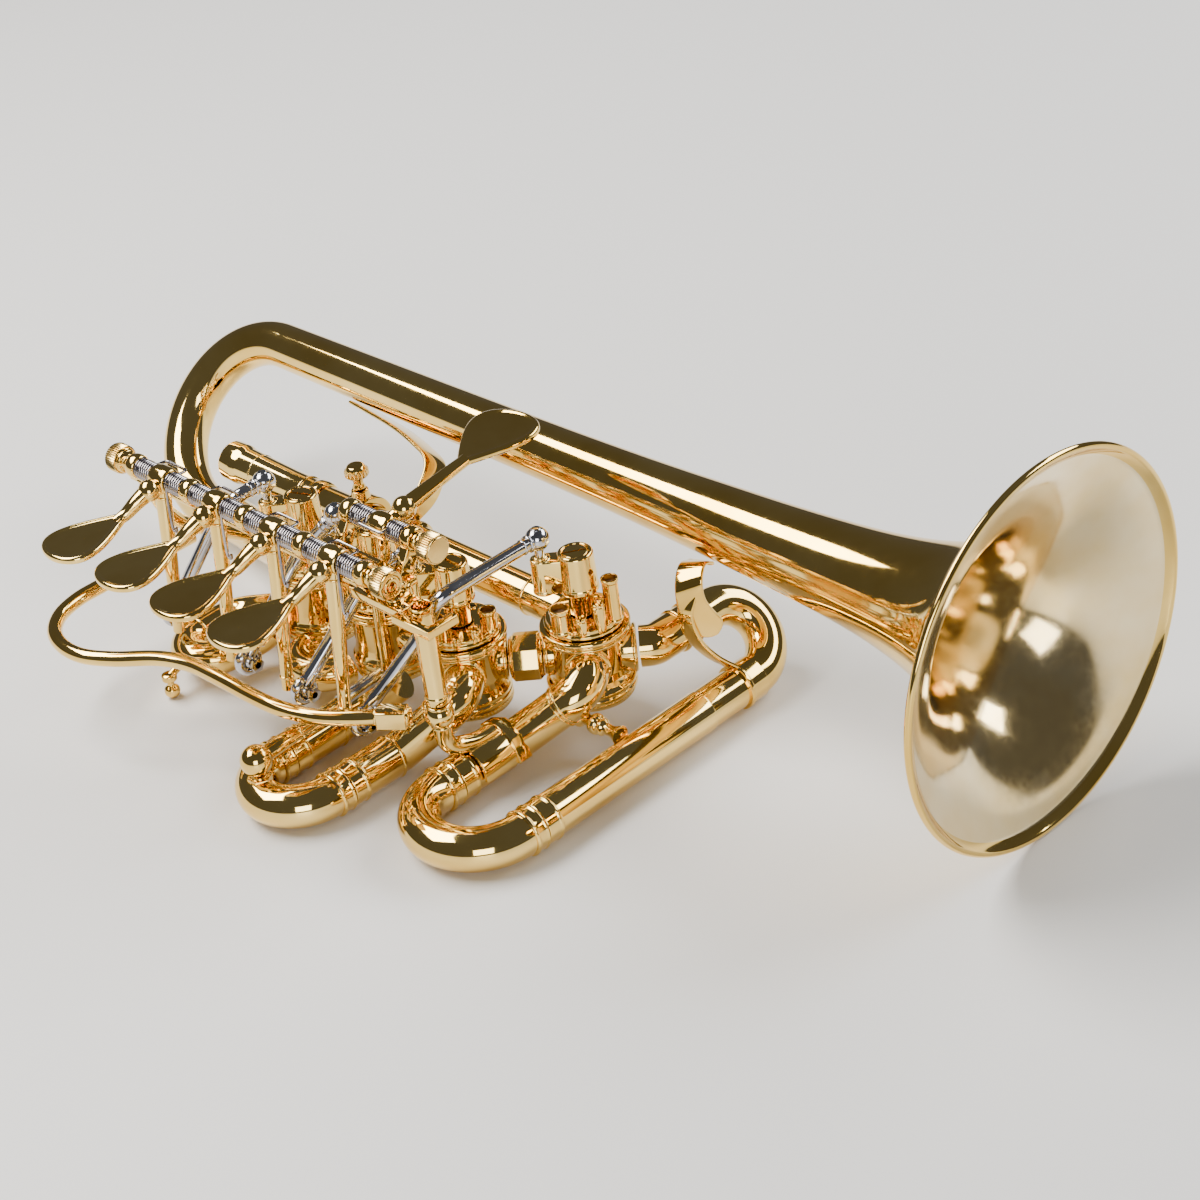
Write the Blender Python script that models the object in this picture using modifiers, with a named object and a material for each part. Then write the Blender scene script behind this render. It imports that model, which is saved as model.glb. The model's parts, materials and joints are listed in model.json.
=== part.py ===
"""Rotary-valve piccolo trumpet, modelled as separate working pieces.

Instrument axes, in millimetres while modelling:
  X runs along the bell axis towards the mouth, rim plane at x = 0
  Y runs along the valve slides, away from the player's finger paddles
  Z is up, parallel to the valve rotors; the table lies at z = -48
Every finished piece is moved by SHIFT and scaled to metres.
"""
import math

import bmesh
import bpy
from mathutils import Matrix, Vector

# ---------------------------------------------------------------- dimensions (mm)
SHIFT = Vector((147.597, 32.803, 48.0))
BELL_RADIUS = 48.0
STEM_END = -263.0
GAP = 0.3

BOW_LOW_Y, BOW_LOW_Z = -34.1, -36.6
TUBE_R = 6.3

LEAD_Y, LEAD_Z = -25.0, -24.5
LEAD_R = 4.9

VALVES = ((-197.0, -51.0), (-168.5, -51.0), (-140.0, -51.0), (-118.0, -30.0))
CASING_R = 9.4
CASING_TOP, CASING_BOTTOM = -20.0, -38.2
PORT_Z = -29.0
ELBOW_Z = -28.0
ARM_OUT = 6.0
BALL_Z = 4.3

AXLE_Y, AXLE_Z = -78.0, 11.6
AXLE_R = 1.3
LEVER_X = (-215.0, -192.7, -170.4, -148.1)
COLLAR_X = (-226.3, -203.9, -181.6, -159.3, -136.9)
EYE_Y, EYE_Z = -83.0, -29.5
EYE_OFFSET = 6.0

TRIG_Y, TRIG_Z = -65.0, 15.5
TRIG_X = -144.3
TRIG_COLLARS = (-156.3, -134.2)
TRIG_ROD_X, TRIG_ROD_Z, KNOB_Z = -153.5, -29.0, -31.7

SLIDE_Z = -42.0
SLIDE_R = 5.5
LOOP4_IN_X, LOOP4_OUT_X = -120.0, -91.2
LOOP3_IN_X, LOOP3_OUT_X = -140.0, -162.0
LOOP4_FERRULE_Y = -76.5
LOOP3_FERRULE_Y = -94.0

POST_X, POST_Y = -121.6, -75.2
GUARD_Z = -24.5

for old in list(bpy.data.objects):
    bpy.data.objects.remove(old, do_unlink=True)

collection = bpy.data.collections.new("piccolo_trumpet")
bpy.context.scene.collection.children.link(collection)


# ---------------------------------------------------------------- materials
def material(name, colour, metallic, roughness):
    mat = bpy.data.materials.new(name)
    mat.use_nodes = True
    shader = mat.node_tree.nodes["Principled BSDF"]
    shader.inputs["Base Color"].default_value = (*colour, 1.0)
    shader.inputs["Metallic"].default_value = metallic
    shader.inputs["Roughness"].default_value = roughness
    return mat


FINISHES = {
    "gold": ((0.95, 0.72, 0.32), 1.0, 0.12),
    "steel": ((0.72, 0.74, 0.78), 1.0, 0.16),
    "spring": ((0.30, 0.30, 0.32), 1.0, 0.35),
}


# ---------------------------------------------------------------- shape helpers
def link(name, mesh):
    obj = bpy.data.objects.new(name, mesh)
    bpy.context.scene.collection.objects.link(obj)
    return obj


def baked(obj):
    """Replace an object that carries modifiers or a curve by its plain mesh."""
    deps = bpy.context.evaluated_depsgraph_get()
    mesh = bpy.data.meshes.new_from_object(obj.evaluated_get(deps))
    mesh.transform(obj.matrix_world)
    name = obj.name
    bpy.data.objects.remove(obj, do_unlink=True)
    bm = bmesh.new()
    bm.from_mesh(mesh)
    bmesh.ops.remove_doubles(bm, verts=bm.verts, dist=0.002)
    bmesh.ops.recalc_face_normals(bm, faces=bm.faces)
    bm.to_mesh(mesh)
    bm.free()
    return link(name, mesh)


def from_bmesh(bm, name="piece"):
    mesh = bpy.data.meshes.new(name)
    bm.to_mesh(mesh)
    bm.free()
    return link(name, mesh)


def towards(start, end):
    """Matrix placing a Z-aligned shape of unit origin midway from start to end."""
    start, end = Vector(start), Vector(end)
    turn = (end - start).to_track_quat("Z", "Y").to_matrix().to_4x4()
    return Matrix.Translation((start + end) / 2) @ turn


def rod(start, end, r1, r2=None, seg=10):
    bm = bmesh.new()
    length = (Vector(end) - Vector(start)).length
    bmesh.ops.create_cone(bm, cap_ends=True, segments=seg, radius1=r1,
                          radius2=r1 if r2 is None else r2, depth=length,
                          matrix=towards(start, end))
    return from_bmesh(bm)


def ball(centre, radius, seg=10, rings=6):
    bm = bmesh.new()
    bmesh.ops.create_uvsphere(bm, u_segments=seg, v_segments=rings, radius=radius,
                              matrix=Matrix.Translation(centre))
    return from_bmesh(bm)


def block(low, high, turn=None, bevel=0.0):
    low, high = Vector(low), Vector(high)
    size = high - low
    place = Matrix.Translation((low + high) / 2)
    if turn is not None:
        place = place @ turn
    bm = bmesh.new()
    bmesh.ops.create_cube(bm, size=1.0, matrix=place @ Matrix.Diagonal((*size, 1.0)))
    obj = from_bmesh(bm)
    if bevel:
        mod = obj.modifiers.new("soft", "BEVEL")
        mod.width = bevel
        mod.segments = 2
        obj = baked(obj)
    return obj


def lathe(profile, origin, direction, seg=16, closed=False):
    """Turn (radius, height) pairs about a line through origin along direction."""
    bm = bmesh.new()
    verts = [bm.verts.new((r, 0.0, h)) for r, h in profile]
    for a, b in zip(verts, verts[1:]):
        bm.edges.new((a, b))
    if closed:
        bm.edges.new((verts[-1], verts[0]))
    obj = from_bmesh(bm)
    mod = obj.modifiers.new("turn", "SCREW")
    mod.steps = seg
    mod.render_steps = seg
    mod.use_merge_vertices = True
    mod.merge_threshold = 0.0001
    quat = Vector(direction).to_track_quat("Z", "Y").to_matrix().to_4x4()
    obj.matrix_world = Matrix.Translation(origin) @ quat
    bpy.context.view_layer.update()
    return baked(obj)


def ring(origin, direction, inner, outer, half, seg=16):
    """Short collar with a bore, centred on origin."""
    soft = min(0.5, half * 0.4)
    profile = [(inner, half), (outer - soft, half), (outer, half - soft),
               (outer, soft - half), (outer - soft, -half), (inner, -half)]
    return lathe(profile, origin, direction, seg, closed=True)


def wire(points, radius, bevel=3):
    data = bpy.data.curves.new("wire", "CURVE")
    data.dimensions = "3D"
    data.bevel_depth = radius
    data.bevel_resolution = bevel
    data.use_fill_caps = True
    data.resolution_u = 1
    data.render_resolution_u = 0
    spline = data.splines.new("POLY")
    spline.points.add(len(points) - 1)
    for slot, co in zip(spline.points, points):
        slot.co = (*co, 1.0)
    obj = link("wire", data)
    bpy.context.view_layer.update()
    return baked(obj)


def rounded_path(points, radius, steps=3):
    """Polyline with each inner corner replaced by an arc of about the radius."""
    pts = [Vector(p) for p in points]
    out = [pts[0]]
    for before, corner, after in zip(pts, pts[1:], pts[2:]):
        a = (before - corner).normalized()
        b = (after - corner).normalized()
        reach = min(radius, (before - corner).length * 0.48, (after - corner).length * 0.48)
        p0, p2 = corner + a * reach, corner + b * reach
        for k in range(steps + 1):
            t = k / steps
            out.append(p0 * (1 - t) ** 2 + corner * 2 * t * (1 - t) + p2 * t ** 2)
    out.append(pts[-1])
    return out


def half_turn(start, end, bulge, steps=8):
    """Semicircle from start to end whose middle points along bulge."""
    start, end = Vector(start), Vector(end)
    centre = (start + end) / 2
    radius = (end - start).length / 2
    side = (start - centre).normalized()
    out = Vector(bulge).normalized()
    return [centre + (side * math.cos(math.pi * k / steps)
                      + out * math.sin(math.pi * k / steps)) * radius
            for k in range(steps + 1)]


def strap(points, across, width, thick):
    """Flat band following points, its breadth lying along across."""
    across = Vector(across).normalized() * (width / 2)
    bm = bmesh.new()
    line = [bm.verts.new(Vector(p) - across) for p in points]
    edges = [bm.edges.new(pair) for pair in zip(line, line[1:])]
    grown = bmesh.ops.extrude_edge_only(bm, edges=edges)
    moved = [item for item in grown["geom"] if isinstance(item, bmesh.types.BMVert)]
    bmesh.ops.translate(bm, verts=moved, vec=across * 2)
    obj = from_bmesh(bm)
    mod = obj.modifiers.new("sheet", "SOLIDIFY")
    mod.thickness = thick
    mod.offset = 0.0
    return baked(obj)


def plate(outline, place, thick, bevel=0.0):
    """Flat outline in its own XY, thickened and placed by a matrix."""
    data = bpy.data.curves.new("plate", "CURVE")
    data.dimensions = "2D"
    data.fill_mode = "BOTH"
    data.extrude = thick / 2 - bevel
    data.bevel_depth = bevel
    data.bevel_resolution = 0
    data.render_resolution_u = 0
    spline = data.splines.new("POLY")
    spline.points.add(len(outline) - 1)
    for slot, (x, y) in zip(spline.points, outline):
        slot.co = (x, y, 0.0, 1.0)
    spline.use_cyclic_u = True
    obj = link("plate", data)
    obj.matrix_world = place
    bpy.context.view_layer.update()
    return baked(obj)


def combine(base, others, operation="UNION"):
    """Boolean each other mesh into the base and return the plain result."""
    for other in others:
        mod = base.modifiers.new("join", "BOOLEAN")
        mod.object = other
        mod.operation = operation
        mod.solver = "EXACT"
        base = baked(base)
        bpy.data.objects.remove(other, do_unlink=True)
    return base


def joined(pieces):
    return combine(pieces[0], pieces[1:])


def cut(base, tools):
    return combine(base, tools, "DIFFERENCE")


def finish(name, obj, finish_name, pivot=None):
    """Name the piece, give it its finish and put its origin on the pivot."""
    colour, metallic, roughness = FINISHES[finish_name]
    obj.name = name
    obj.data.name = name
    obj.data.materials.clear()
    obj.data.materials.append(material(name + "_" + finish_name, colour, metallic, roughness))
    pivot = Vector(pivot) if pivot is not None else Vector((0.0, 0.0, 0.0)) - SHIFT
    obj.data.transform(Matrix.Scale(0.001, 4) @ Matrix.Translation(-pivot))
    obj.location = (pivot + SHIFT) * 0.001
    for user in list(obj.users_collection):
        user.objects.unlink(obj)
    collection.objects.link(obj)
    return obj


# ---------------------------------------------------------------- bell and bow
# radius of the bell's outer wall against the distance back from the mouth
BELL_WALL = ((0.4, 47.6), (3.6, 39.5), (9.0, 30.0), (16.5, 22.4), (27.0, 17.2), (42.0, 13.6),
             (62.0, 11.3), (95.0, 9.4), (150.0, 7.6), (263.0, TUBE_R))


def bell():
    """Flare and stem with an open bore; the rim is rolled outwards."""
    outer = [(radius, back) for back, radius in BELL_WALL[1:]]
    inner = [(radius - 0.75, back) for back, radius in BELL_WALL]
    rim = [(46.9, -1.1), (48.0, -0.2), (47.6, 1.3), (46.3, 1.6)]
    profile = inner[::-1] + rim + outer
    return lathe(profile, (0, 0, 0), (-1, 0, 0), 32, closed=True)


finish("bell", bell(), "gold")

bow_path = ([Vector((STEM_END - GAP, 0, 0))]
            + half_turn((STEM_END - 2, 0, 0), (STEM_END - 2, BOW_LOW_Y, BOW_LOW_Z), (-1, 0, 0), 10)
            + [Vector(p) for p in ((-250, -34.6, -36.4), (-240, -36.4, -35.2), (-230, -39.2, -32.8),
                                   (-221, -42.3, -30.2), (-214, -44.9, -29.0), (-210.2, -46.2, -29.0))])
finish("bell_bow", wire(bow_path, TUBE_R, 5), "gold")

brace_path = rounded_path([(-231, -3.2, -7.0), (-208, -6.0, -7.0), (-190.5, -10.5, -8.5),
                           (-186.5, -20.0, -13.5), (-189, -24.5, -17.5)], 12, 3)
finish("bow_brace", strap(brace_path, (0.1, 1.0, -0.8), 8.0, 0.9), "gold")

# ---------------------------------------------------------------- leadpipe group
LEAD_NEAR_X, LEAD_LENGTH = -130.0, 93.5
lead_profile = [(0, 0), (LEAD_R, 0), (LEAD_R, 55.5), (LEAD_R + 0.9, 56.5), (LEAD_R + 0.9, 60.5),
                (LEAD_R, 61.5), (LEAD_R - 0.3, LEAD_LENGTH), (0, LEAD_LENGTH)]
finish("leadpipe", lathe(lead_profile, (LEAD_NEAR_X, LEAD_Y, LEAD_Z), (-1, 0, 0), 16), "gold")

lead_far = LEAD_NEAR_X - LEAD_LENGTH - GAP
receiver_profile = [(0, 0), (5.2, 0), (5.4, 3), (4.8, 5), (4.9, 24), (5.2, 36), (5.7, 36.5), (5.7, 40.5),
                    (4.5, 40.5), (3.6, 8), (0, 8)]
finish("mouthpiece_receiver",
       lathe(receiver_profile, (lead_far, LEAD_Y, LEAD_Z), (-1, 0, 0), 18), "gold")

CLAMP_X = -207.5
clamp = ring((CLAMP_X, LEAD_Y, LEAD_Z), (1, 0, 0), LEAD_R + GAP, LEAD_R + 2.3, 3.2, 16)
clamp = joined([clamp, rod((CLAMP_X, LEAD_Y, LEAD_Z + 6.3), (CLAMP_X, LEAD_Y, LEAD_Z + 9.4), 2.6, 2.3, 10)])
clamp = cut(clamp, [rod((CLAMP_X, LEAD_Y, LEAD_Z + 4.6), (CLAMP_X, LEAD_Y, LEAD_Z + 12), 1.5, seg=10)])
finish("leadpipe_clamp", clamp, "gold")

screw_base = LEAD_Z + 5.4
screw = lathe([(0, 0), (1.15, 0), (1.15, 4.4), (1.9, 4.7), (1.3, 6.0), (1.5, 7.4), (3.0, 8.2), (3.3, 10.2),
               (2.4, 11.4), (0, 11.4)],
              (CLAMP_X, LEAD_Y, screw_base), (0, 0, 1), 12)
finish("clamp_thumbscrew", screw, "gold", (CLAMP_X, LEAD_Y, screw_base))


# ---------------------------------------------------------------- rotary valves
def casing(index):
    """Barrel with a bore for the rotor and short ports for its tubes."""
    x, y = VALVES[index]
    shell = lathe([(8.2, CASING_BOTTOM), (8.2, CASING_TOP), (11.3, CASING_TOP),
                   (11.3, CASING_TOP - 2.2), (CASING_R, CASING_TOP - 2.9),
                   (CASING_R, CASING_BOTTOM + 2.6), (10.1, CASING_BOTTOM + 2.0), (10.1, CASING_BOTTOM)],
                  (x, y, 0), (0, 0, 1), 16, closed=True)
    ports = []
    for direction, reach, radius, height in PORTS[index]:
        heading = Vector((math.cos(math.radians(direction)), math.sin(math.radians(direction)), 0))
        start = Vector((x, y, height)) + heading * 8.9
        ports.append(rod(start, start + heading * reach, radius, seg=12))
    return joined([shell] + ports)


HALF_PITCH = 28.5 / 2 - 8.9 - GAP / 2
DIAGONAL = math.degrees(math.atan2(21.0, 22.0))
# per valve: heading in degrees, length, radius and height of each port
PORTS = (
    ((160, 4.5, TUBE_R + 0.4, PORT_Z), (0, HALF_PITCH, 5.0, PORT_Z)),
    ((180, HALF_PITCH, 5.0, PORT_Z), (0, HALF_PITCH, 5.0, PORT_Z)),
    ((180, HALF_PITCH, 5.0, PORT_Z), (DIAGONAL, 1.8, 5.2, PORT_Z), (-45, 1.7, 5.6, ELBOW_Z)),
    ((180 + DIAGONAL, 1.8, 5.2, PORT_Z), (45, 3.2, 5.9, PORT_Z), (-45, 1.7, 5.6, ELBOW_Z)),
)


def stop_plate(index):
    """Top bearing plate carrying two bumper cups and two pegs."""
    x, y = VALVES[index]
    top = CASING_TOP + GAP
    base = lathe([(3.3, top), (9.9, top), (9.9, top + 1.6), (9.4, top + 2.1), (3.3, top + 2.1)],
                 (x, y, 0), (0, 0, 1), 20, closed=True)
    cups = []
    low, mid, tall = (4.5, 7.5, 12.0) if index == 3 else (2.0, 3.4, 6.0)
    for degrees, height, radius in ((-84, 6.6, 2.6), (-46, low, 1.5), (-14, mid, 1.6), (22, tall, 2.2)):
        out = Vector((math.cos(math.radians(degrees)), math.sin(math.radians(degrees)), 0)) * 8.2
        foot = Vector((x, y, top + 1.2)) + out
        cups.append(rod(foot, foot + Vector((0, 0, height)), radius, seg=8))
    return joined([base] + cups)


def rotor(index):
    """Rotor body, spindle, tapered hub and the stop arm with its stud."""
    x, y = VALVES[index]
    body = lathe([(0, -37.0), (7.85, -37.0), (7.85, -21.4), (2.9, -21.2), (3.2, -10.9), (4.9, -10.5),
                  (4.4, 0.0), (0, 0.0)],
                 (x, y, 0), (0, 0, 1), 16)
    slot = block((x - 3.0, y - 0.45, -0.9), (x + 3.0, y + 0.45, 1.0))
    body = cut(body, [slot])
    ax, ay = x - ARM_OUT, y - ARM_OUT
    column = rod((ax, ay, -10.6), (ax, ay, -1.0), 2.8, 2.6, 10)
    web = block((-8.2, -2.5, -10.3), (-0.5, 2.5, -1.3))
    web.data.transform(Matrix.Translation((x, y, 0)) @ Matrix.Rotation(math.radians(45), 4, "Z"))
    stud = rod((ax, ay, -2.0), (ax, ay, BALL_Z + 0.5), 1.2, seg=8)
    return joined([body, web, column, stud])


def cap(index):
    x, y = VALVES[index]
    top = CASING_BOTTOM - GAP
    return lathe([(0, top), (10.3, top), (10.6, top - 0.5), (10.6, top - 1.4), (9.6, top - 2.0),
                  (0, top - 2.6)], (x, y, 0), (0, 0, 1), 18)


for number in range(4):
    vx, vy = VALVES[number]
    tag = str(number + 1)
    finish("valve_casing_" + tag, casing(number), "gold")
    finish("stop_plate_" + tag, stop_plate(number), "gold")
    finish("valve_rotor_" + tag, rotor(number), "gold", (vx, vy, 0))
    finish("valve_cap_" + tag, cap(number), "gold")

between = Vector((*VALVES[2], PORT_Z)), Vector((*VALVES[3], PORT_Z))
step = (between[1] - between[0]).normalized()
reach = 8.9 + 1.8 + GAP
finish("valve_knuckle", lathe([(0, 0), (5.0, 0), (6.2, 1.0), (6.2, 7.4), (5.0, 8.415), (0, 8.415)],
                              between[0] + step * reach, step, 8), "gold")

# ---------------------------------------------------------------- second valve loop
loop2 = half_turn((-174.8, -62.2, -38.4), (-189.2, -62.2, -38.4), (0, -1, 0), 8)
finish("slide_2_crook", wire(loop2, 4.6, 4), "gold")


# ---------------------------------------------------------------- fourth valve loop
def sleeve(x, y_from, y_to, inner, outer, bead_at=None):
    """Straight outer slide tube along Y with a bead at its open end."""
    length = abs(y_to - y_from)
    profile = [(inner, 0), (inner, length), (outer, length), (outer, 4.2), (outer + 0.45, 3.6),
               (outer + 0.45, 0.5), (outer, 0)]
    way = 1 if y_to > y_from else -1
    return lathe(profile, (x, y_from, SLIDE_Z), (0, way, 0), 16, closed=True)




def elbow_path(valve, x, y_sleeve, y_bend):
    """Line of a slide leg that climbs aslant and turns into a valve's front port."""
    out = Vector((1, -1, 0)).normalized()
    corner = Vector((*VALVES[valve], ELBOW_Z)) + out * 17.5
    start, low = Vector((x, y_sleeve, SLIDE_Z)), Vector((x, y_bend, SLIDE_Z))
    rise = (corner - low).normalized()
    turn = rise.angle(-out)
    radius = 6.2 / math.tan(turn / 2)
    inward = (rise * rise.dot(out) - out).normalized()
    first = corner - rise * 6.2
    arc = []
    for k in range(6):
        angle = turn * k / 5
        arc.append(first + inward * radius * (1 - math.cos(angle)) + rise * radius * math.sin(angle))
    return rounded_path([start, low, first], 3, 2)[:-1] + arc + [corner - out * 6.6]


inner4_path = elbow_path(3, LOOP4_IN_X, -60.0, -57.0)
inner4 = joined([wire(inner4_path, SLIDE_R - 0.2, 4),
                 sleeve(LOOP4_IN_X, LOOP4_FERRULE_Y, -59.5, 4.75, SLIDE_R)])
finish("slide_4_inner_tube", inner4, "gold")

far4 = half_turn((-106.4, 1.0, PORT_Z), (LOOP4_OUT_X, -1.0, SLIDE_Z), (0, 1, 0), 8)
outer4_path = rounded_path([(-109.0, -21.0, PORT_Z), (-106.6, -18.6, PORT_Z), (-106.4, 0.5, PORT_Z)], 5, 4)
outer4_path = outer4_path[:-1] + far4 + [Vector((LOOP4_OUT_X, -20.0, SLIDE_Z))]
outer4 = joined([wire(outer4_path, SLIDE_R - 0.2, 4),
                 sleeve(LOOP4_OUT_X, LOOP4_FERRULE_Y, -19.5, 4.75, SLIDE_R)])
finish("slide_4_outer_tube", outer4, "gold")


def crook(x_a, x_b, y, stub, radius, tube):
    """U-bend with two thinner legs that run inside the outer slide tubes."""
    mouth_a, mouth_b = Vector((x_a, y - GAP, SLIDE_Z)), Vector((x_b, y - GAP, SLIDE_Z))
    bend = half_turn(mouth_a - Vector((0, 3.5, 0)), mouth_b - Vector((0, 3.5, 0)), (0, -1, 0), 8)
    body = wire([mouth_a] + bend + [mouth_b], tube, 4)
    extras = []
    for mouth in (mouth_a, mouth_b):
        extras.append(rod(mouth - Vector((0, 2.8, 0)), mouth + Vector((0, stub, 0)), radius, seg=12))
        extras.append(rod(mouth - Vector((0, 3.0, 0)), mouth + Vector((0, 0.1, 0)), tube + 0.5, seg=14))
    return joined([body] + extras)


CROOK4_PIVOT = ((LOOP4_IN_X + LOOP4_OUT_X) / 2, LOOP4_FERRULE_Y, SLIDE_Z)
finish("slide_4_crook", crook(LOOP4_IN_X, LOOP4_OUT_X, LOOP4_FERRULE_Y, 16.0, 4.35, 5.5),
       "gold", CROOK4_PIVOT)

baluster = lathe([(0, 0), (1.4, 0), (1.3, 2.0), (2.3, 2.8), (2.3, 4.2), (1.6, 5.2), (2.3, 6.0), (1.6, 7.0),
                  (1.3, 8.4), (1.4, 10.6), (0, 10.6)],
                 (-107.2, -43.4, -37.0), (1, 0, 0), 10)
finish("slide_4_brace", baluster, "gold")

# ---------------------------------------------------------------- third valve loop
right3_path = elbow_path(2, LOOP3_IN_X, -78.0, -75.5)
right3 = joined([wire(right3_path, SLIDE_R - 0.3, 4),
                 sleeve(LOOP3_IN_X, LOOP3_FERRULE_Y, -77.5, 4.65, SLIDE_R - 0.1)])
finish("slide_3_inner_tube", right3, "gold")

left3_path = rounded_path([(LOOP3_OUT_X, -78.0, SLIDE_Z), (LOOP3_OUT_X, -66.5, SLIDE_Z),
                           (LOOP3_OUT_X + 7.0, -61.4, SLIDE_Z + 7.0)], 7, 3)
left3 = joined([wire(left3_path, SLIDE_R - 0.3, 4),
                sleeve(LOOP3_OUT_X, LOOP3_FERRULE_Y, -77.5, 4.65, SLIDE_R - 0.1)])
finish("slide_3_outer_tube", left3, "gold")

CROOK3_PIVOT = ((LOOP3_IN_X + LOOP3_OUT_X) / 2, LOOP3_FERRULE_Y, SLIDE_Z)
push_post = rod((TRIG_ROD_X, -107.6, SLIDE_Z + 2), (TRIG_ROD_X, -107.6, KNOB_Z - 4.0 - GAP), 1.9,
                seg=10)
finish("slide_3_crook",
       joined([crook(LOOP3_IN_X, LOOP3_OUT_X, LOOP3_FERRULE_Y, 14.0, 4.25, 5.4), push_post]),
       "gold", CROOK3_PIVOT)

# ---------------------------------------------------------------- first valve loop
FOOT = (-214.5, -90.0)
loop1 = half_turn((-207.5, -74.5, -39.8), (-221.5, -74.5, -39.8), (0, -1, 0), 8)
loop1_path = ([Vector((-202.2, -63.8, -35.4)), Vector((-204.5, -66.0, -37.8)), Vector((-206.6, -70.0, -39.5))]
              + loop1 + [Vector((-221.5, -66.0, -39.8)), Vector((-219.0, -61.0, -39.4)),
                         Vector((-213.0, -57.9, -38.0)), Vector((-209.0, -56.2, -37.0))])
finish("slide_1_crook", wire(loop1_path, 4.6, 4), "gold")
foot = joined([ball((*FOOT, -45.9), 2.1, 10, 6), rod((*FOOT, -45.5), (*FOOT, -42.0), 0.9, seg=8),
               rod((*FOOT, -42.6), (*FOOT, -40.6), 2.0, seg=10)])
foot = joined([foot, rod((*FOOT, -41.8), (FOOT[0], -86.8, -40.4), 1.1, seg=10)])
finish("rest_foot", foot, "gold")

# ---------------------------------------------------------------- finger hook and leaf
hook_path = rounded_path([(-100.5, -5.5, -9.6), (-98.5, -12.0, -8.2), (-96.8, -15.8, -14.5),
                          (-95.2, -13.0, -24.5), (-91.8, -7.5, -35.6)], 8, 4)
finish("finger_hook", strap(hook_path, (1.0, 0.25, 0.1), 7.0, 1.0), "gold")


# ---------------------------------------------------------------- frame for the levers
def lever_frame():
    """Bar under the main axle with its bearings, plus the trigger bracket."""
    bar = block((-236.0, -75.2, 3.2), (-138.0, -72.2, 5.7))
    end = block((-143.0, -80.6, 3.0), (-113.6, -71.2, 5.4))
    pieces = [end]
    for x in COLLAR_X:
        pieces.append(rod((x - 1.7, AXLE_Y, AXLE_Z), (x + 1.7, AXLE_Y, AXLE_Z), 3.3, seg=12))
        pieces.append(block((x - 1.4, -77.6, 4.2), (x + 1.4, -73.2, 11.0)))
    pieces.append(block((-163.0, -72.6, 6.2), (-130.5, -68.2, 8.2)))
    pieces.append(block((-141.5, -76.0, 4.0), (-130.8, -70.6, 7.6)))
    for x in TRIG_COLLARS:
        pieces.append(rod((x - 1.7, TRIG_Y, TRIG_Z), (x + 1.7, TRIG_Y, TRIG_Z), 3.3, seg=12))
        lean = Matrix.Rotation(math.radians(-32), 4, "X")
        pieces.append(block((x - 1.4, -69.6, 7.0), (x + 1.4, -65.4, 15.2), turn=lean))
    strut = wire(rounded_path([(-232.0, -73.7, 4.5), (-232.0, -68.0, -12.0), (-232.0, -45.6, -27.7)], 8, 3),
                 1.9, 2)
    body = joined([bar] + pieces + [strut])
    bores = [rod((-240, AXLE_Y, AXLE_Z), (-120, AXLE_Y, AXLE_Z), AXLE_R + GAP, seg=10),
             rod((-162, TRIG_Y, TRIG_Z), (-128, TRIG_Y, TRIG_Z), AXLE_R + GAP, seg=10),
             block((-125.6, -78.5, 0), (-115.8, -69.0, 9)),
             block((-150.0, -90.0, 0), (-126.4, -78.6, 5.9))]
    return cut(body, bores)


finish("lever_frame", lever_frame(), "gold")


def knob(x, y, z, way):
    """Knurl-sized round nut standing off the last bearing."""
    profile = [(0, 0), (2.4, 0), (2.4, 1.6), (3.3, 2.0), (3.3, 2.8), (3.8, 3.1), (3.8, 7.0), (3.4, 7.4),
               (0, 7.4)]
    return lathe(profile, (x, y, z), (way, 0, 0), 16)


left_end, right_end = COLLAR_X[0] - 2.0, COLLAR_X[-1] + 2.0
axle = joined([knob(left_end, AXLE_Y, AXLE_Z, -1),
               rod((left_end - 1.0, AXLE_Y, AXLE_Z), (right_end - GAP, AXLE_Y, AXLE_Z), AXLE_R, seg=10)])
finish("main_axle", axle, "gold")
finish("main_axle_nut", knob(right_end, AXLE_Y, AXLE_Z, 1), "gold", (right_end, AXLE_Y, AXLE_Z))

trig_left, trig_right = TRIG_COLLARS[0] - 2.0, TRIG_COLLARS[1] + 2.0
finish("trigger_axle", rod((trig_left, TRIG_Y, TRIG_Z), (trig_right - GAP, TRIG_Y, TRIG_Z), AXLE_R, seg=10),
       "gold")
finish("trigger_axle_nut", knob(trig_right, TRIG_Y, TRIG_Z, 1), "gold", (trig_right, TRIG_Y, TRIG_Z))


# ---------------------------------------------------------------- levers
def teardrop(length, width, samples=12):
    """Outline narrowing to a neck at the origin and running along +Y."""
    points = []
    for k in range(samples):
        t = 2 * math.pi * k / samples
        along = 0.5 - 0.5 * math.cos(t)
        half = 0.5 * width * math.sin(t) * (0.35 + 0.65 * along ** 0.5)
        points.append((half, along * length))
    return points


def paddle(neck, heading, pitch, length, width):
    turn = Matrix.Rotation(math.radians(heading), 4, "Z") @ Matrix.Rotation(math.radians(pitch), 4, "X")
    return plate(teardrop(length, width), Matrix.Translation(neck) @ turn, 2.0, 0.6)


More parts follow.
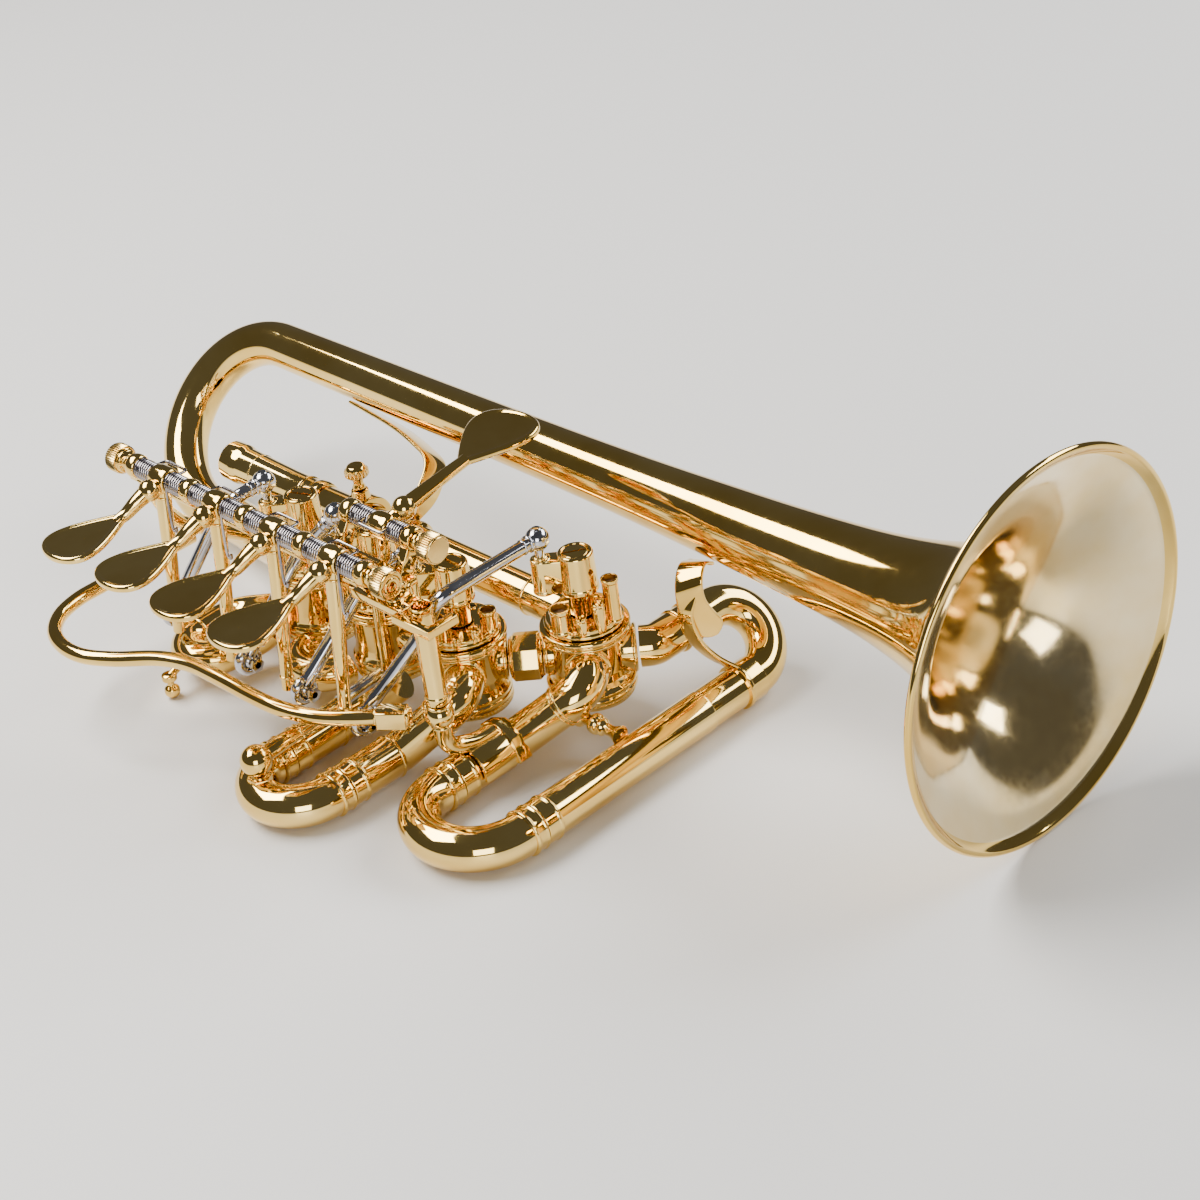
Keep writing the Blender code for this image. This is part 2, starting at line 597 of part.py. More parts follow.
def lever(index):
    """Finger lever: barrel, ball boss, arm, paddle and the long down arm."""
    x = LEVER_X[index]
    side = -1 if index == 0 else 1
    eye_y = -80.0 if index == 0 else EYE_Y
    barrel = rod((x - 3.0, AXLE_Y, AXLE_Z), (x + 3.0, AXLE_Y, AXLE_Z), 3.4, seg=14)
    boss = ball((x + 0.2, -83.0, 10.6), 2.9, 10, 6)
    neck_link = rod((x + 0.2, -78.5, 11.2), (x + 0.2, -83.0, 10.6), 1.9, seg=8)
    arm = rod((x, -83.5, 10.4), (x - 2.6, -93.4, 5.6), 1.7, 1.5, 8)
    leaf = paddle((x - 2.1, -89.4, 6.0), 178.0, -2.0, 23.7, 17.2)
    down = rod((x, -79.0, 9.8), (x + 0.3, -83.9, -31.0), 2.1, 1.5, 10)
    stud = rod((x, eye_y, EYE_Z), (x + side * (EYE_OFFSET + 4.1), eye_y, EYE_Z), 1.1, seg=8)
    parts = [barrel, neck_link, boss, arm, leaf, down, stud]
    if index == 0:
        parts.append(rod((x, -83.7, EYE_Z), (x, -79.4, EYE_Z), 1.5, seg=8))
    body = joined(parts)
    return cut(body, [rod((x - 5, AXLE_Y, AXLE_Z), (x + 5, AXLE_Y, AXLE_Z), AXLE_R + GAP, seg=10)])


def spring(left, centre, right, barrel_half, y, z, side=1):
    """Pair of coil sleeves either side of a barrel, joined by a wire behind it."""
    pieces = []
    for a, b in ((left, centre - barrel_half - GAP), (centre + barrel_half + GAP, right)):
        pieces.append(rod((a, y, z), (b, y, z), 2.75, seg=12))
    near, far = centre - barrel_half - 1.4, centre + barrel_half + 1.4
    root, back = y + side * 2.2, y + side * 4.4
    pieces.append(wire([(near, root, z + 1.0), (near, back, z + 1.6), (far, back, z + 1.6),
                        (far, root, z + 1.0)], 0.45, 1))
    body = joined([pieces[2], pieces[0], pieces[1]])
    return cut(body, [rod((left - 2, y, z), (right + 2, y, z), AXLE_R + GAP, seg=10)])


for number in range(4):
    tag = str(number + 1)
    finish("lever_" + tag, lever(number), "gold", (LEVER_X[number], AXLE_Y, AXLE_Z))
    finish("lever_spring_" + tag,
           spring(COLLAR_X[number] + 2.0, LEVER_X[number], COLLAR_X[number + 1] - 2.0, 3.0, AXLE_Y, AXLE_Z),
           "spring")


def trigger_lever():
    """Thumb lever on the second axle; its down arm pushes the slide rod."""
    x, y, z = TRIG_X, TRIG_Y, TRIG_Z
    parts = [rod((x - 3.0, y, z), (x + 3.0, y, z), 3.4, seg=14),
             rod((x + 0.6, y + 0.5, z + 0.5), (x + 1.6, -59.6, 18.2), 1.9, seg=8),
             ball((x + 1.8, -59.6, 18.4), 3.0, 10, 6),
             rod((x + 1.8, -59.2, 18.6), (x + 2.6, -41.0, 22.4), 1.8, 1.6, 8),
             paddle((x + 3.0, -42.4, 22.2), 9.0, 3.0, 25.0, 19.2),
             wire(rounded_path([(x - 1.2, y, z - 1.5), (x - 1.8, y + 0.5, 6.5), (TRIG_ROD_X, y + 0.5, -2.5),
                                (TRIG_ROD_X, y, TRIG_ROD_Z - 2.2)], 5, 3), 1.45, 2)]
    return cut(joined(parts), [rod((x - 5, y, z), (x + 5, y, z), AXLE_R + GAP, seg=10)])


finish("trigger_lever", trigger_lever(), "gold", (TRIG_X, TRIG_Y, TRIG_Z))
finish("trigger_spring",
       spring(TRIG_COLLARS[0] + 2.0, TRIG_X, TRIG_COLLARS[1] - 2.0, 3.0, TRIG_Y, TRIG_Z, -1), "spring")

# ---------------------------------------------------------------- link rods
ROD_R = 1.8
# corner points between the lever eye and the ball on the stop arm, per lever
KNEES = (
    ((-211.0, -68.0, -4.0), (-203.0, -67.5, BALL_Z)),
    ((-184.5, -63.5, -7.5),),
    ((-158.6, -62.6, -6.0),),
    ((-130.6, -67.6, -6.0), (-124.0, -68.8, BALL_Z)),
)


def link_rod(index):
    """Bent steel rod from the lever eye up to the socket over the stop arm."""
    vx, vy = VALVES[index]
    top = Vector((vx - ARM_OUT, vy - ARM_OUT, BALL_Z))
    side = -1 if index == 0 else 1
    eye_y = -80.0 if index == 0 else EYE_Y
    eye = Vector((LEVER_X[index] + side * EYE_OFFSET, eye_y, EYE_Z))
    stem = wire(rounded_path([eye + Vector((0, 0.6, 1.6)), *KNEES[index], top], 5, 3), ROD_R, 3)
    shell = rod(eye - Vector((1.4, 0, 0)), eye + Vector((1.4, 0, 0)), 3.9, seg=14)
    cup = ball(top, 3.1, 10, 6)
    body = joined([shell, stem, cup])
    hole = 2.9 if index == 0 else 2.3
    return cut(body, [rod(eye - Vector((4, 0, 0)), eye + Vector((4, 0, 0)), hole, seg=12),
                      rod(top - Vector((0, 0, 4)), top + Vector((0, 0, 0.9)), 1.2 + GAP, seg=8)])


for number in range(4):
    vx, vy = VALVES[number]
    finish("link_rod_" + str(number + 1), link_rod(number), "steel", (vx - ARM_OUT, vy - ARM_OUT, BALL_Z))

rod_end = -67.2
knob_at, far_at = Vector((TRIG_ROD_X, -107.6, KNOB_Z)), Vector((TRIG_ROD_X, rod_end, TRIG_ROD_Z))
slide_rod = joined([rod(knob_at, knob_at.lerp(far_at, 0.68), 1.35, seg=10),
                    rod(knob_at.lerp(far_at, 0.655), far_at, 1.75, seg=10),
                    ball(knob_at, 4.0, 12, 8),
                    rod(knob_at.lerp(far_at, 0.05), knob_at.lerp(far_at, 0.33), 2.1, 1.9, 10)])
finish("trigger_rod", slide_rod, "steel", (TRIG_ROD_X, rod_end, TRIG_ROD_Z))

# ---------------------------------------------------------------- hand guard
guard_plan = ((-241.0, -57.9), (-241.0, -88.0), (-241.0, -96.0), (-238.0, -103.5), (-232.5, -109.0),
              (-225.0, -111.8), (-217.0, -111.4), (-209.0, -107.2), (-200.0, -100.0), (-192.0, -97.0),
              (-180.0, -96.6), (-166.0, -96.6), (-156.0, -95.8), (-146.5, -92.8), (-139.0, -88.5),
              (-134.6, -84.4))
guard = wire(rounded_path([(x, y, GUARD_Z) for x, y in guard_plan], 4, 1), 2.0, 2)
finish("guard_wire", guard, "gold")

heading = Vector((4.4, 3.3, 0)).normalized()
ferrule_start = Vector((-134.6, -84.4, GUARD_Z)) + heading * 0.1
ferrule = lathe([(0, GAP), (2.9, GAP), (2.9, 7.8), (0, 7.8)], ferrule_start, heading, 4)
finish("guard_ferrule", ferrule, "gold")

post = lathe([(1.9, -19.8), (1.9, 6.9), (2.6, 6.9), (2.6, -19.8)], (POST_X, POST_Y, 0), (0, 0, 1), 14,
             closed=True)
finish("guard_post", post, "gold")

saddle = ring((LOOP4_IN_X, -65.4, SLIDE_Z), (0, 1, 0), SLIDE_R, SLIDE_R + 1.5, 5.6, 16)
collar = ring((LOOP4_IN_X, -59.0, SLIDE_Z), (0, 1, 0), SLIDE_R, SLIDE_R + 2.4, 2.0, 8)
bracket = joined([saddle, collar, ball((POST_X, POST_Y, -23.6), 3.6, 10, 6),
                  wire(rounded_path([(POST_X, POST_Y, -24.0), (POST_X, POST_Y + 0.3, -33.6),
                                     (LOOP4_IN_X, -67.0, -35.6), (LOOP4_IN_X, -62.0, -35.6)], 5, 3), 2.1, 3)])
bracket = cut(bracket, [block((-140, -90, -60), (-100, -40, SLIDE_Z - 0.5)),
                        rod((LOOP4_IN_X, -90, SLIDE_Z), (LOOP4_IN_X, -40, SLIDE_Z), SLIDE_R + GAP + 0.05,
                            seg=20)])
finish("guard_bracket", bracket, "gold")

bpy.context.view_layer.update()
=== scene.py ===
"""Looks of a rotary-valve piccolo trumpet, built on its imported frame.

Shapes are written in the instrument's own millimetres, as in the frame's source:
  X along the bell axis towards the mouth (rim plane x = 0), Y along the slides
  away from the paddles, Z up (the table lies at z = -48)
show() moves them into the frame's metres and hangs each on its body.
"""
import json
import math

import bmesh
import bpy
from mathutils import Matrix, Vector


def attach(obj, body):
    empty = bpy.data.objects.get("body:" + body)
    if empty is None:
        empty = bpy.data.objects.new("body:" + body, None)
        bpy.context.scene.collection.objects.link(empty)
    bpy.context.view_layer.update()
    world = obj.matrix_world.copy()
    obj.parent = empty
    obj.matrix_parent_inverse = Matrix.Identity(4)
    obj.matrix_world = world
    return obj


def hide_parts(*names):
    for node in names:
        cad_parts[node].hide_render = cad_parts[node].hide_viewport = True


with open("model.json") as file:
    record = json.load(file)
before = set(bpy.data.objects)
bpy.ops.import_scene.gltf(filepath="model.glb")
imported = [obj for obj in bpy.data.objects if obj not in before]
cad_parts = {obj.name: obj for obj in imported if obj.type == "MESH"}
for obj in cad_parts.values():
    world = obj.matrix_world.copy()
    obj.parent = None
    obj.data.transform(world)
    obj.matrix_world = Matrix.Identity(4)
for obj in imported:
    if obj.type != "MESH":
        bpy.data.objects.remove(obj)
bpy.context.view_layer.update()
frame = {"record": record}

SHIFT = Vector((147.597, 32.803, 48.0))
BODY = {node: body for body, nodes in frame["record"]["behaviour"]["bodies"].items() for node in nodes}

# ---------------------------------------------------------------- dimensions (mm)
STEM_END = -263.0
BOW_LOW = (-34.1, -36.6)
TUBE_R = 6.3
LEAD_Y, LEAD_Z, LEAD_R = -25.0, -24.5, 4.9
LEAD_NEAR_X, LEAD_LENGTH = -130.0, 93.5
CLAMP_X = -207.5

VALVES = ((-197.0, -51.0), (-168.5, -51.0), (-140.0, -51.0), (-118.0, -30.0))
CASING_R = 9.4
CASING_TOP, CASING_BOTTOM = -20.0, -38.2
PORT_Z, ELBOW_Z = -29.0, -28.0
ARM_OUT, BALL_Z = 6.0, 4.3

AXLE_Y, AXLE_Z, AXLE_R = -78.0, 11.6, 1.3
LEVER_X = (-215.0, -192.7, -170.4, -148.1)
COLLAR_X = (-226.3, -203.9, -181.6, -159.3, -136.9)
EYE_Z, EYE_OFFSET = -29.5, 6.0
EYE_SIDE, EYE_Y = (-1, 1, 1, 1), (-80.0, -83.0, -83.0, -83.0)
TRIG_X, TRIG_Y, TRIG_Z = -144.3, -65.0, 15.5
TRIG_COLLARS = (-156.3, -134.2)
TRIG_ROD_X, TRIG_ROD_Z = -153.5, -29.0
KNOB_Y, KNOB_Z = -107.6, -31.7

SLIDE_Z, SLIDE_R = -42.0, 5.5
LOOP4_IN_X, LOOP4_OUT_X, LOOP4_FERRULE_Y = -120.0, -91.2, -76.5
LOOP3_IN_X, LOOP3_OUT_X, LOOP3_FERRULE_Y = -140.0, -162.0, -94.0
POST_X, POST_Y = -121.6, -75.2
GUARD_Z = -24.5
GAP = 0.3


# ---------------------------------------------------------------- finishes
class Nodes:
    """Short way to wire a procedural material."""

    def __init__(self, name):
        self.mat = bpy.data.materials.new(name)
        self.mat.use_nodes = True
        self.tree = self.mat.node_tree
        self.shader = self.tree.nodes["Principled BSDF"]
        self.coord = self.tree.nodes.new("ShaderNodeTexCoord").outputs["Object"]

    def noise(self, scale, detail, rough):
        node = self.tree.nodes.new("ShaderNodeTexNoise")
        node.inputs["Scale"].default_value = scale
        node.inputs["Detail"].default_value = detail
        node.inputs["Roughness"].default_value = rough
        self.tree.links.new(self.coord, node.inputs["Vector"])
        return node.outputs["Fac"]

    def ramp(self, value, low, high):
        """Colour between two stops, each a position and a colour."""
        node = self.tree.nodes.new("ShaderNodeValToRGB")
        for element, (place, colour) in zip(node.color_ramp.elements, (low, high)):
            element.position = place
            element.color = (*colour, 1.0)
        self.tree.links.new(value, node.inputs["Fac"])
        return node.outputs["Color"]

    def span(self, value, low, high):
        """The middle of a noise stretched to run from low to high."""
        node = self.tree.nodes.new("ShaderNodeMapRange")
        node.inputs["From Min"].default_value = 0.3
        node.inputs["From Max"].default_value = 0.7
        node.inputs["To Min"].default_value = low
        node.inputs["To Max"].default_value = high
        self.tree.links.new(value, node.inputs["Value"])
        return node.outputs["Result"]

    def bump(self, height, strength, distance):
        node = self.tree.nodes.new("ShaderNodeBump")
        node.inputs["Strength"].default_value = strength
        node.inputs["Distance"].default_value = distance
        self.tree.links.new(height, node.inputs["Height"])
        self.tree.links.new(node.outputs["Normal"], self.shader.inputs["Normal"])

    def feed(self, socket, output):
        self.tree.links.new(output, self.shader.inputs[socket])


def metal(name, dark, light, rough_low, rough_high, patch, grain, coat=0.0):
    """Polished metal: slow colour drift, finer polish marks and a faint ripple."""
    n = Nodes(name)
    n.shader.inputs["Metallic"].default_value = 1.0
    n.feed("Base Color", n.ramp(n.noise(patch, 4.0, 0.55), (0.35, dark), (0.65, light)))
    n.feed("Roughness", n.span(n.noise(grain, 6.0, 0.65), rough_low, rough_high))
    n.bump(n.noise(grain * 0.25, 2.0, 0.5), 0.05, 0.0002)
    if coat:
        n.shader.inputs["Coat Weight"].default_value = coat
        n.shader.inputs["Coat Roughness"].default_value = 0.04
    return n.mat


def cork():
    """Dark, coarse-grained bumper cork."""
    n = Nodes("cork_bumper")
    grain = n.noise(900.0, 5.0, 0.7)
    n.feed("Base Color", n.ramp(grain, (0.35, (0.10, 0.05, 0.025)), (0.65, (0.34, 0.20, 0.10))))
    n.feed("Roughness", n.span(grain, 0.7, 0.95))
    n.bump(grain, 0.5, 0.0003)
    return n.mat


# dark and light colour, lowest and highest roughness, scale of the patches and of the grain, coat
FINISH = {
    "gold": metal("gold_lacquer", (0.82, 0.52, 0.11), (0.95, 0.68, 0.22), 0.04, 0.09, 26.0, 420.0, 0.15),
    # paler copy of the gold for the bell's inside: painted sheen
    "sheen_cream": metal("bell_inside_painted_sheen", (0.92, 0.68, 0.30), (1.0, 0.84, 0.52), 0.09, 0.18, 34.0, 420.0, 0.3),
    "satin": metal("gold_knurl", (0.72, 0.48, 0.15), (0.88, 0.64, 0.24), 0.16, 0.28, 60.0, 900.0),
    "steel": metal("link_steel", (0.44, 0.44, 0.47), (0.64, 0.64, 0.68), 0.06, 0.14, 90.0, 700.0),
    "spring": metal("spring_wire", (0.22, 0.20, 0.21), (0.44, 0.41, 0.42), 0.14, 0.24, 150.0, 1200.0),
    # near-black copy of the gold for hollows that lie in shade: painted shade
    "shade": metal("painted_shade_dark", (0.10, 0.06, 0.02), (0.20, 0.12, 0.04), 0.30, 0.45, 90.0, 600.0),
    "cork": cork(),
}


# ---------------------------------------------------------------- shape helpers
# every shape is a pair: its points and its faces
def cleaned(verts, faces):
    """The shape with its doubled points merged and its faces turned outwards."""
    bm = bmesh.new()
    made = [bm.verts.new(v) for v in verts]
    for face in faces:
        bm.faces.new([made[i] for i in face])
    bmesh.ops.remove_doubles(bm, verts=bm.verts, dist=0.0008)
    bmesh.ops.recalc_face_normals(bm, faces=bm.faces)
    return taken(bm)


def taken(bm):
    """The bmesh as a shape; the bmesh is freed."""
    bm.verts.index_update()
    shape = [tuple(v.co) for v in bm.verts], [tuple(v.index for v in f.verts) for f in bm.faces]
    bm.free()
    return shape


def placed(shape, matrix):
    """The shape moved by the matrix."""
    return [tuple(matrix @ Vector(p)) for p in shape[0]], shape[1]


def loft(rows, caps=True):
    """Faces joining rings that hold the same number of points."""
    count = len(rows[0])
    faces = []
    for i in range(len(rows) - 1):
        for j in range(count):
            k = (j + 1) % count
            faces.append((i * count + j, i * count + k, (i + 1) * count + k, (i + 1) * count + j))
    if caps:
        faces.append(tuple(reversed(range(count))))
        faces.append(tuple(range((len(rows) - 1) * count, len(rows) * count)))
    return [tuple(p) for row in rows for p in row], faces


def circle(count):
    """Cosine and sine of count equal steps round a turn."""
    return [(math.cos(2 * math.pi * k / count), math.sin(2 * math.pi * k / count)) for k in range(count)]


def tube(path, radius, seg=28):
    """Round bar or wire along a path; radius is one number or one per point."""
    points = [Vector(p) for p in path]
    radii = radius if isinstance(radius, (list, tuple)) else [radius] * len(points)
    side = None
    rows = []
    for i, (point, r) in enumerate(zip(points, radii)):
        tangent = (points[min(i + 1, len(points) - 1)] - points[max(i - 1, 0)]).normalized()
        if side is None:
            side = tangent.orthogonal()
        side = (side - tangent * side.dot(tangent)).normalized()
        other = tangent.cross(side)
        rows.append([point + (side * c + other * s) * r for c, s in circle(seg)])
    return loft(rows)


def soft(profile, reach=0.3, steps=3, closed=False):
    """Profile with each corner replaced by a small curve."""
    pts = [Vector(p) for p in profile]
    out = []
    for i, corner in enumerate(pts):
        if not closed and i in (0, len(pts) - 1):
            out.append(corner)
            continue
        before, after = pts[i - 1], pts[(i + 1) % len(pts)]
        p0 = corner + (before - corner).normalized() * min(reach, (before - corner).length * 0.45)
        p2 = corner + (after - corner).normalized() * min(reach, (after - corner).length * 0.45)
        for k in range(steps + 1):
            t = k / steps
            out.append(p0 * (1 - t) ** 2 + corner * 2 * t * (1 - t) + p2 * t ** 2)
    return out


def lathe(profile, origin, direction, seg=48, closed=False):
    """Turn (radius, height) pairs about a line through origin along direction."""
    turn = Vector(direction).to_track_quat("Z", "Y")
    origin = Vector(origin)
    rows = [[origin + turn @ Vector((r * c, r * s, h)) for c, s in circle(seg)] for r, h in profile]
    if closed:
        rows.append(rows[0])
    return cleaned(*loft(rows, caps=False))


def rod(start, end, r1, r2=None, edge=0.25, seg=32):
    """Straight bar with eased ends, tapering if r2 is given."""
    start, end = Vector(start), Vector(end)
    r2 = r1 if r2 is None else r2
    length = (end - start).length
    edge = min(edge, length * 0.3, min(r1, r2) * 0.6)
    profile = soft([(0, 0), (r1, 0), (r2, length), (0, length)], edge)
    return lathe(profile, start, end - start, seg)


def ball(centre, radius, seg=36, steps=18):
    half = [(radius * math.sin(math.pi * k / steps), -radius * math.cos(math.pi * k / steps))
            for k in range(steps + 1)]
    return lathe(half, centre, (0, 0, 1), seg)


def bead(origin, direction, radius, thick, offset=0.0, seg=48):
    """Half-round ring standing on a tube of the given radius."""
    way = Vector(direction).normalized()
    foot, steps = max(radius - 0.5, 0.05), 8
    bulge = [(radius - 0.3 * thick + thick * math.sin(math.pi * k / steps),
              -thick * math.cos(math.pi * k / steps)) for k in range(steps + 1)]
    return lathe([(foot, -thick)] + bulge + [(foot, thick)], Vector(origin) + way * offset, way, seg,
                 closed=True)


def knurl(origin, direction, radius, depth, start, end, teeth=40):
    """Band of straight knurling between two heights."""
    turn = Vector(direction).to_track_quat("Z", "Y")
    origin = Vector(origin)
    slope = 0.35
    rows = []
    for height, share in ((start, 0.0), (start + slope, 1.0), (end - slope, 1.0), (end, 0.0)):
        row = []
        for k, (c, s) in enumerate(circle(teeth * 2)):
            r = radius - depth + (depth * share if k % 2 == 0 else 0.0)
            row.append(origin + turn @ Vector((r * c, r * s, height)))
        rows.append(row)
    return loft(rows)


def block(low, high, bevel=0.3, turn=None):
    """Box with eased edges, turned about its own middle."""
    low, high = Vector(low), Vector(high)
    place = Matrix.Translation((low + high) / 2)
    if turn is not None:
        place = place @ turn
    bm = bmesh.new()
    bmesh.ops.create_cube(bm, size=1.0, matrix=Matrix.Diagonal((*(high - low), 1.0)))
    if bevel:
        bmesh.ops.bevel(bm, geom=list(bm.edges), offset=bevel, segments=3, affect="EDGES", profile=0.5)
    bmesh.ops.transform(bm, matrix=place, verts=bm.verts)
    return taken(bm)


def slab(outline, thick, place, bevel=0.3):
    """Flat outline in its own XY thickened about zero, with eased edges."""
    bm = bmesh.new()
    low = [bm.verts.new((x, y, -thick / 2)) for x, y in outline]
    base = bm.faces.new(low)
    grown = bmesh.ops.extrude_face_region(bm, geom=[base])
    lifted = [g for g in grown["geom"] if isinstance(g, bmesh.types.BMVert)]
    bmesh.ops.translate(bm, verts=lifted, vec=(0, 0, thick))
    bmesh.ops.recalc_face_normals(bm, faces=bm.faces)
    if bevel:
        edges = [e for e in bm.edges if abs(e.verts[0].co.z - e.verts[1].co.z) < 1e-6]
        bmesh.ops.bevel(bm, geom=edges, offset=bevel, segments=3, affect="EDGES", profile=0.5)
    bmesh.ops.transform(bm, matrix=place, verts=bm.verts)
    return taken(bm)


def carved(shape, *cutters):
    """The shape with the cutters taken away."""
    def stand(part):
        mesh = bpy.data.meshes.new("part")
        mesh.from_pydata(part[0], [], part[1])
        obj = bpy.data.objects.new("part", mesh)
        bpy.context.scene.collection.objects.link(obj)
        return obj
    body = stand(shape)
    tools = [stand(cutter) for cutter in cutters]
    for tool in tools:
        mod = body.modifiers.new("cut", "BOOLEAN")
        mod.object = tool
        mod.operation = "DIFFERENCE"
        mod.solver = "EXACT"
    bm = bmesh.new()
    bm.from_object(body, bpy.context.evaluated_depsgraph_get())
    for obj in tools + [body]:
        bpy.data.objects.remove(obj, do_unlink=True)
    return taken(bm)


def rounded_path(points, radius, steps=10):
    """Polyline with each inner corner replaced by a curve of about the radius."""
    pts = [Vector(p) for p in points]
    out = [pts[0]]
    for before, corner, after in zip(pts, pts[1:], pts[2:]):
        reach = min(radius, (before - corner).length * 0.48, (after - corner).length * 0.48)
        p0 = corner + (before - corner).normalized() * reach
        p2 = corner + (after - corner).normalized() * reach
        for k in range(steps + 1):
            t = k / steps
            out.append(p0 * (1 - t) ** 2 + corner * 2 * t * (1 - t) + p2 * t ** 2)
    out.append(pts[-1])
    return out


def smooth(points, per=8):
    """Smooth curve passing through every point."""
    pts = [Vector(p) for p in points]
    pts = [pts[0] * 2 - pts[1]] + pts + [pts[-1] * 2 - pts[-2]]
    out = []
    for p0, p1, p2, p3 in zip(pts, pts[1:], pts[2:], pts[3:]):
        for k in range(per):
            t = k / per
            out.append((p1 * 2 + (p2 - p0) * t + (p0 * 2 - p1 * 5 + p2 * 4 - p3) * t * t
                        + (p1 * 3 - p0 - p2 * 3 + p3) * t ** 3) / 2)
    out.append(pts[-2])
    return out


def half_turn(start, end, bulge, steps=36):
    """Half a circle from start to end, passing on the side of bulge."""
    start, end = Vector(start), Vector(end)
    centre, radius = (start + end) / 2, (end - start).length / 2
    side, out = (start - centre).normalized(), Vector(bulge).normalized()
    return [centre + (side * math.cos(math.pi * k / steps) + out * math.sin(math.pi * k / steps)) * radius
            for k in range(steps + 1)]


def strap(points, across, width, thick, last=None):
    """Sheet-metal band; width is one number or one per point, and across may turn to last."""
    pts = [Vector(p) for p in points]
    first = Vector(across).normalized()
    last = Vector(last).normalized() if last else first
    widths = width if isinstance(width, list) else [width] * len(pts)
    t = thick / 2
    turns = [math.pi * (k / 6 - 0.5) for k in range(7)]    # round each edge
    rows = []
    for i, p in enumerate(pts):
        tangent = (pts[min(i + 1, len(pts) - 1)] - pts[max(i - 1, 0)]).normalized()
        across = first.lerp(last, i / (len(pts) - 1)).normalized()
        normal = tangent.cross(across).normalized()
        reach = widths[i] / 2 - t
        section = ([(reach + t * math.cos(a), t * math.sin(a)) for a in turns]
                   + [(-reach - t * math.cos(a), -t * math.sin(a)) for a in turns])
        rows.append([p + across * a + normal * b for a, b in section])
    return cleaned(*loft(rows))


SHARP = math.radians(36)


def show(node, *pieces, slot="gold"):
    """Join shapes into one visible piece that stands for a node of the frame.

    A piece is a shape, or a shape with the finish that it has instead of the slot's.
    """
    verts, faces, marks, used = [], [], [], []
    for piece in pieces:
        shape, finish = piece if isinstance(piece[1], str) else (piece, slot)
        if finish not in used:
            used.append(finish)
        shift = len(verts)
        verts += [((x + SHIFT.x) / 1000, (y + SHIFT.y) / 1000, (z + SHIFT.z) / 1000) for x, y, z in shape[0]]
        faces += [tuple(i + shift for i in face) for face in shape[1]]
        marks += [used.index(finish)] * len(shape[1])
    mesh = bpy.data.meshes.new("look_" + node)
    mesh.from_pydata(verts, [], faces)
    for finish in used:
        mesh.materials.append(FINISH[finish])
    mesh.polygons.foreach_set("material_index", marks)
    mesh.shade_smooth()
    mesh.set_sharp_from_angle(angle=SHARP)
    obj = bpy.data.objects.new("look_" + node, mesh)
    bpy.context.scene.collection.objects.link(obj)
    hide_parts(node)
    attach(obj, BODY[node])
    return obj


# ---------------------------------------------------------------- bell and bow
# distance behind the rim, outer radius
BELL_WALL = ((0.4, 47.6), (3.6, 39.5), (9.0, 30.0), (16.5, 22.4), (27.0, 17.2), (42.0, 13.6),
             (62.0, 11.3), (95.0, 9.4), (150.0, 7.6), (263.0, TUBE_R))


def bell():
    """Flare and stem with an open bore and a rolled rim."""
    line = smooth([(back, radius, 0) for back, radius in BELL_WALL], 8)
    wall, rim_r, rim_at, rim_back = 0.75, 0.9, 47.1, 0.2
    outer = [(p.y, p.x) for p in line if p.x > 1.6]
    inner = [(p.y - wall, p.x) for p in line if p.x > 0.9]
    roll = [(rim_at + rim_r * math.cos(a), rim_back + rim_r * math.sin(a)) for a in
            [math.radians(-150 + 20 * k) for k in range(13)]]
    return lathe(inner[::-1] + roll + outer, (0, 0, 0), (-1, 0, 0), 144, closed=True)


bell_look = show("bell", bell())
# the inside, but for the rim, is paler: a lighter copy of the gold on the inward faces, as painted sheen
bell_look.data.materials.append(FINISH["sheen_cream"])
for face in bell_look.data.polygons:
    radial = Vector((0, face.center.y * 1000 - SHIFT.y, face.center.z * 1000 - SHIFT.z))
    if face.normal.dot(radial) < -0.5 and face.center.x * 1000 - SHIFT.x < -1.0:
        face.material_index = 1

bow_low = ((-265, *BOW_LOW), (-257, -34.1, -36.6), (-250, -34.6, -36.4), (-240, -36.4, -35.2),
           (-230, -39.2, -32.8), (-221, -42.3, -30.2), (-214, -44.9, -29.0), (-210.2, -46.2, -29.0))
bow_path = ([Vector((STEM_END + 0.6, 0, 0)), Vector((STEM_END - GAP, 0, 0))]
            + half_turn((STEM_END - 2, 0, 0), (STEM_END - 2, *BOW_LOW), (-1, 0, 0), 48)[:-1]
            + smooth(bow_low, 6))
show("bell_bow", tube(bow_path, TUBE_R - 0.02, 56))

brace_path = rounded_path([(-231, -3.2, -7.0), (-208, -6.0, -7.0), (-190.5, -10.5, -8.5),
                           (-186.5, -20.0, -13.5), (-189, -24.5, -17.5)], 12, 12)
show("bow_brace", strap(brace_path, (0.1, 1.0, -0.8), 8.0, 0.9))

# ---------------------------------------------------------------- lead pipe group
lead_profile = soft([(0, 0), (LEAD_R, 0), (LEAD_R, 55.5), (LEAD_R + 0.9, 56.0), (LEAD_R + 0.9, 60.5),
                     (LEAD_R, 61.5), (LEAD_R - 0.3, LEAD_LENGTH), (0, LEAD_LENGTH)], 0.4)
lead_at = (LEAD_NEAR_X, LEAD_Y, LEAD_Z)
show("leadpipe", lathe(lead_profile, lead_at, (-1, 0, 0)),
     bead(lead_at, (-1, 0, 0), LEAD_R + 0.6, 0.6, 57.0), bead(lead_at, (-1, 0, 0), LEAD_R + 0.6, 0.6, 60.0),
     bead(lead_at, (-1, 0, 0), LEAD_R, 0.5, 12.0))

